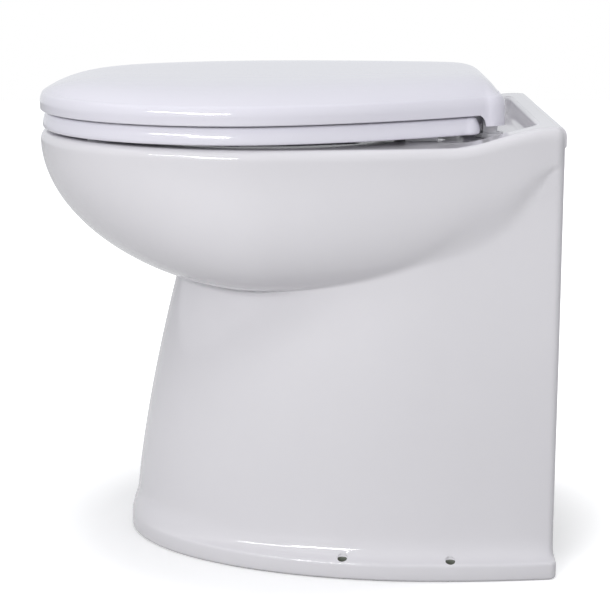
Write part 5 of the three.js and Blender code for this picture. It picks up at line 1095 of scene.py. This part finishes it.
def floor_material():
    material = bpy.data.materials.new("pale_floor")
    material.use_nodes = True
    tree = material.node_tree
    shader = tree.nodes["Principled BSDF"]
    rays = add_node(tree, "ShaderNodeLightPath").outputs
    seen = add_node(tree, "ShaderNodeMath", {
        0: rays["Is Camera Ray"], 1: rays["Is Glossy Ray"]}, operation="MAXIMUM")
    tone = add_node(tree, "ShaderNodeMix", {
        "Factor": seen.outputs[0], 6: FLOOR_BOUNCE, 7: FLOOR_SEEN}, data_type="RGBA")
    tree.links.new(tone.outputs[2], shader.inputs["Base Color"])
    shader.inputs["Roughness"].default_value = FLOOR_ROUGHNESS
    shader.inputs["Specular IOR Level"].default_value = FLOOR_SPECULAR
    place = add_node(tree, "ShaderNodeTexCoord").outputs["Object"]
    away = add_node(tree, "ShaderNodeVectorMath", {0: place}, operation="LENGTH")
    level = add_node(tree, "ShaderNodeMapRange", {
        "Value": away.outputs["Value"], "From Min": GLOW_START, "From Max": GLOW_END,
        "To Min": GLOW_NEAR, "To Max": GLOW_FAR})
    strength = add_node(tree, "ShaderNodeMath", {
        0: level.outputs["Result"], 1: rays["Is Camera Ray"]}, operation="MULTIPLY")
    glow = add_node(tree, "ShaderNodeEmission", {"Strength": strength.outputs[0]})
    both = add_node(tree, "ShaderNodeAddShader", {
        0: shader.outputs["BSDF"], 1: glow.outputs["Emission"]})
    tree.links.new(both.outputs["Shader"], tree.nodes["Material Output"].inputs["Surface"])
    return material


floor_mesh = bmesh.new()
bmesh.ops.create_grid(floor_mesh, x_segments=1, y_segments=1, size=FLOOR_HALF)
floor = mesh_object(floor_mesh, "floor")
floor.data.materials.append(floor_material())


# Lamps
def area_light(name, azimuth, elevation, away, target, size, watts, reflected=True):
    """Rectangular lamp that faces a target; azimuth in degrees from +X towards the front."""
    data = bpy.data.lights.new(name, "AREA")
    data.shape = "RECTANGLE"
    data.size, data.size_y = size
    data.energy = watts
    lamp = bpy.data.objects.new(name, data)
    bpy.context.scene.collection.objects.link(lamp)
    lamp.visible_glossy = reflected
    side, up = math.radians(azimuth), math.radians(elevation)
    way = Vector((math.cos(up) * math.cos(side), -math.cos(up) * math.sin(side), math.sin(up)))
    lamp.location = Vector(target) + way * away
    lamp.rotation_mode = "QUATERNION"
    lamp.rotation_quaternion = (-way).to_track_quat("-Z", "Y")
    return lamp


# Soft light from above and from the near side, a weak one from behind, and three strips whose
# reflections draw the streaks on the lid, seat, rim and foot
area_light("overhead", 20, 82, 2.4, (0, 0, 0.3), (2.4, 2.4), 18.5, False)
area_light("near_side", 5, 16, 2.7, (0, 0, 0.25), (2.2, 1.4), 11.5, False)
area_light("rear_fill", 195, 22, 2.7, (0, 0, 0.25), (2.2, 1.4), 8, False)
area_light("front_side", 78, 34, 2.0, (0, 0, 0.4), (1.2, 0.4), 0.8)
area_light("shoulder_strip", 22, 16, 2.1, (0.18, -0.06, 0.44), (0.7, 0.16), 11)
area_light("foot_strip", 43, 32, 1.9, (0.15, 0.0, 0.02), (0.75, 0.05), 3.5)

# The world is white to the camera, pale and a little cold in reflections, and a soft fill elsewhere
WORLD_LIGHT = 0.46
WORLD_REFLECTED = 0.82
WORLD_TINT = (0.95, 0.965, 1.0, 1)
WORLD_SEEN = (1, 1, 1, 1)
world = bpy.data.worlds.new("studio")
bpy.context.scene.world = world
world.use_nodes = True
world_tree = world.node_tree
background = world_tree.nodes["Background"]
world_rays = add_node(world_tree, "ShaderNodeLightPath").outputs
world_tone = add_node(world_tree, "ShaderNodeMix", {
    "Factor": world_rays["Is Camera Ray"], 6: WORLD_TINT, 7: WORLD_SEEN}, data_type="RGBA")
world_tree.links.new(world_tone.outputs[2], background.inputs["Color"])
reflected = add_node(world_tree, "ShaderNodeMath", {
    0: world_rays["Is Glossy Ray"], 1: WORLD_REFLECTED - WORLD_LIGHT, 2: WORLD_LIGHT},
    operation="MULTIPLY_ADD")
shown = add_node(world_tree, "ShaderNodeMath", {
    0: reflected.outputs[0], 1: world_rays["Is Camera Ray"]}, operation="MAXIMUM")
world_tree.links.new(shown.outputs[0], background.inputs["Strength"])
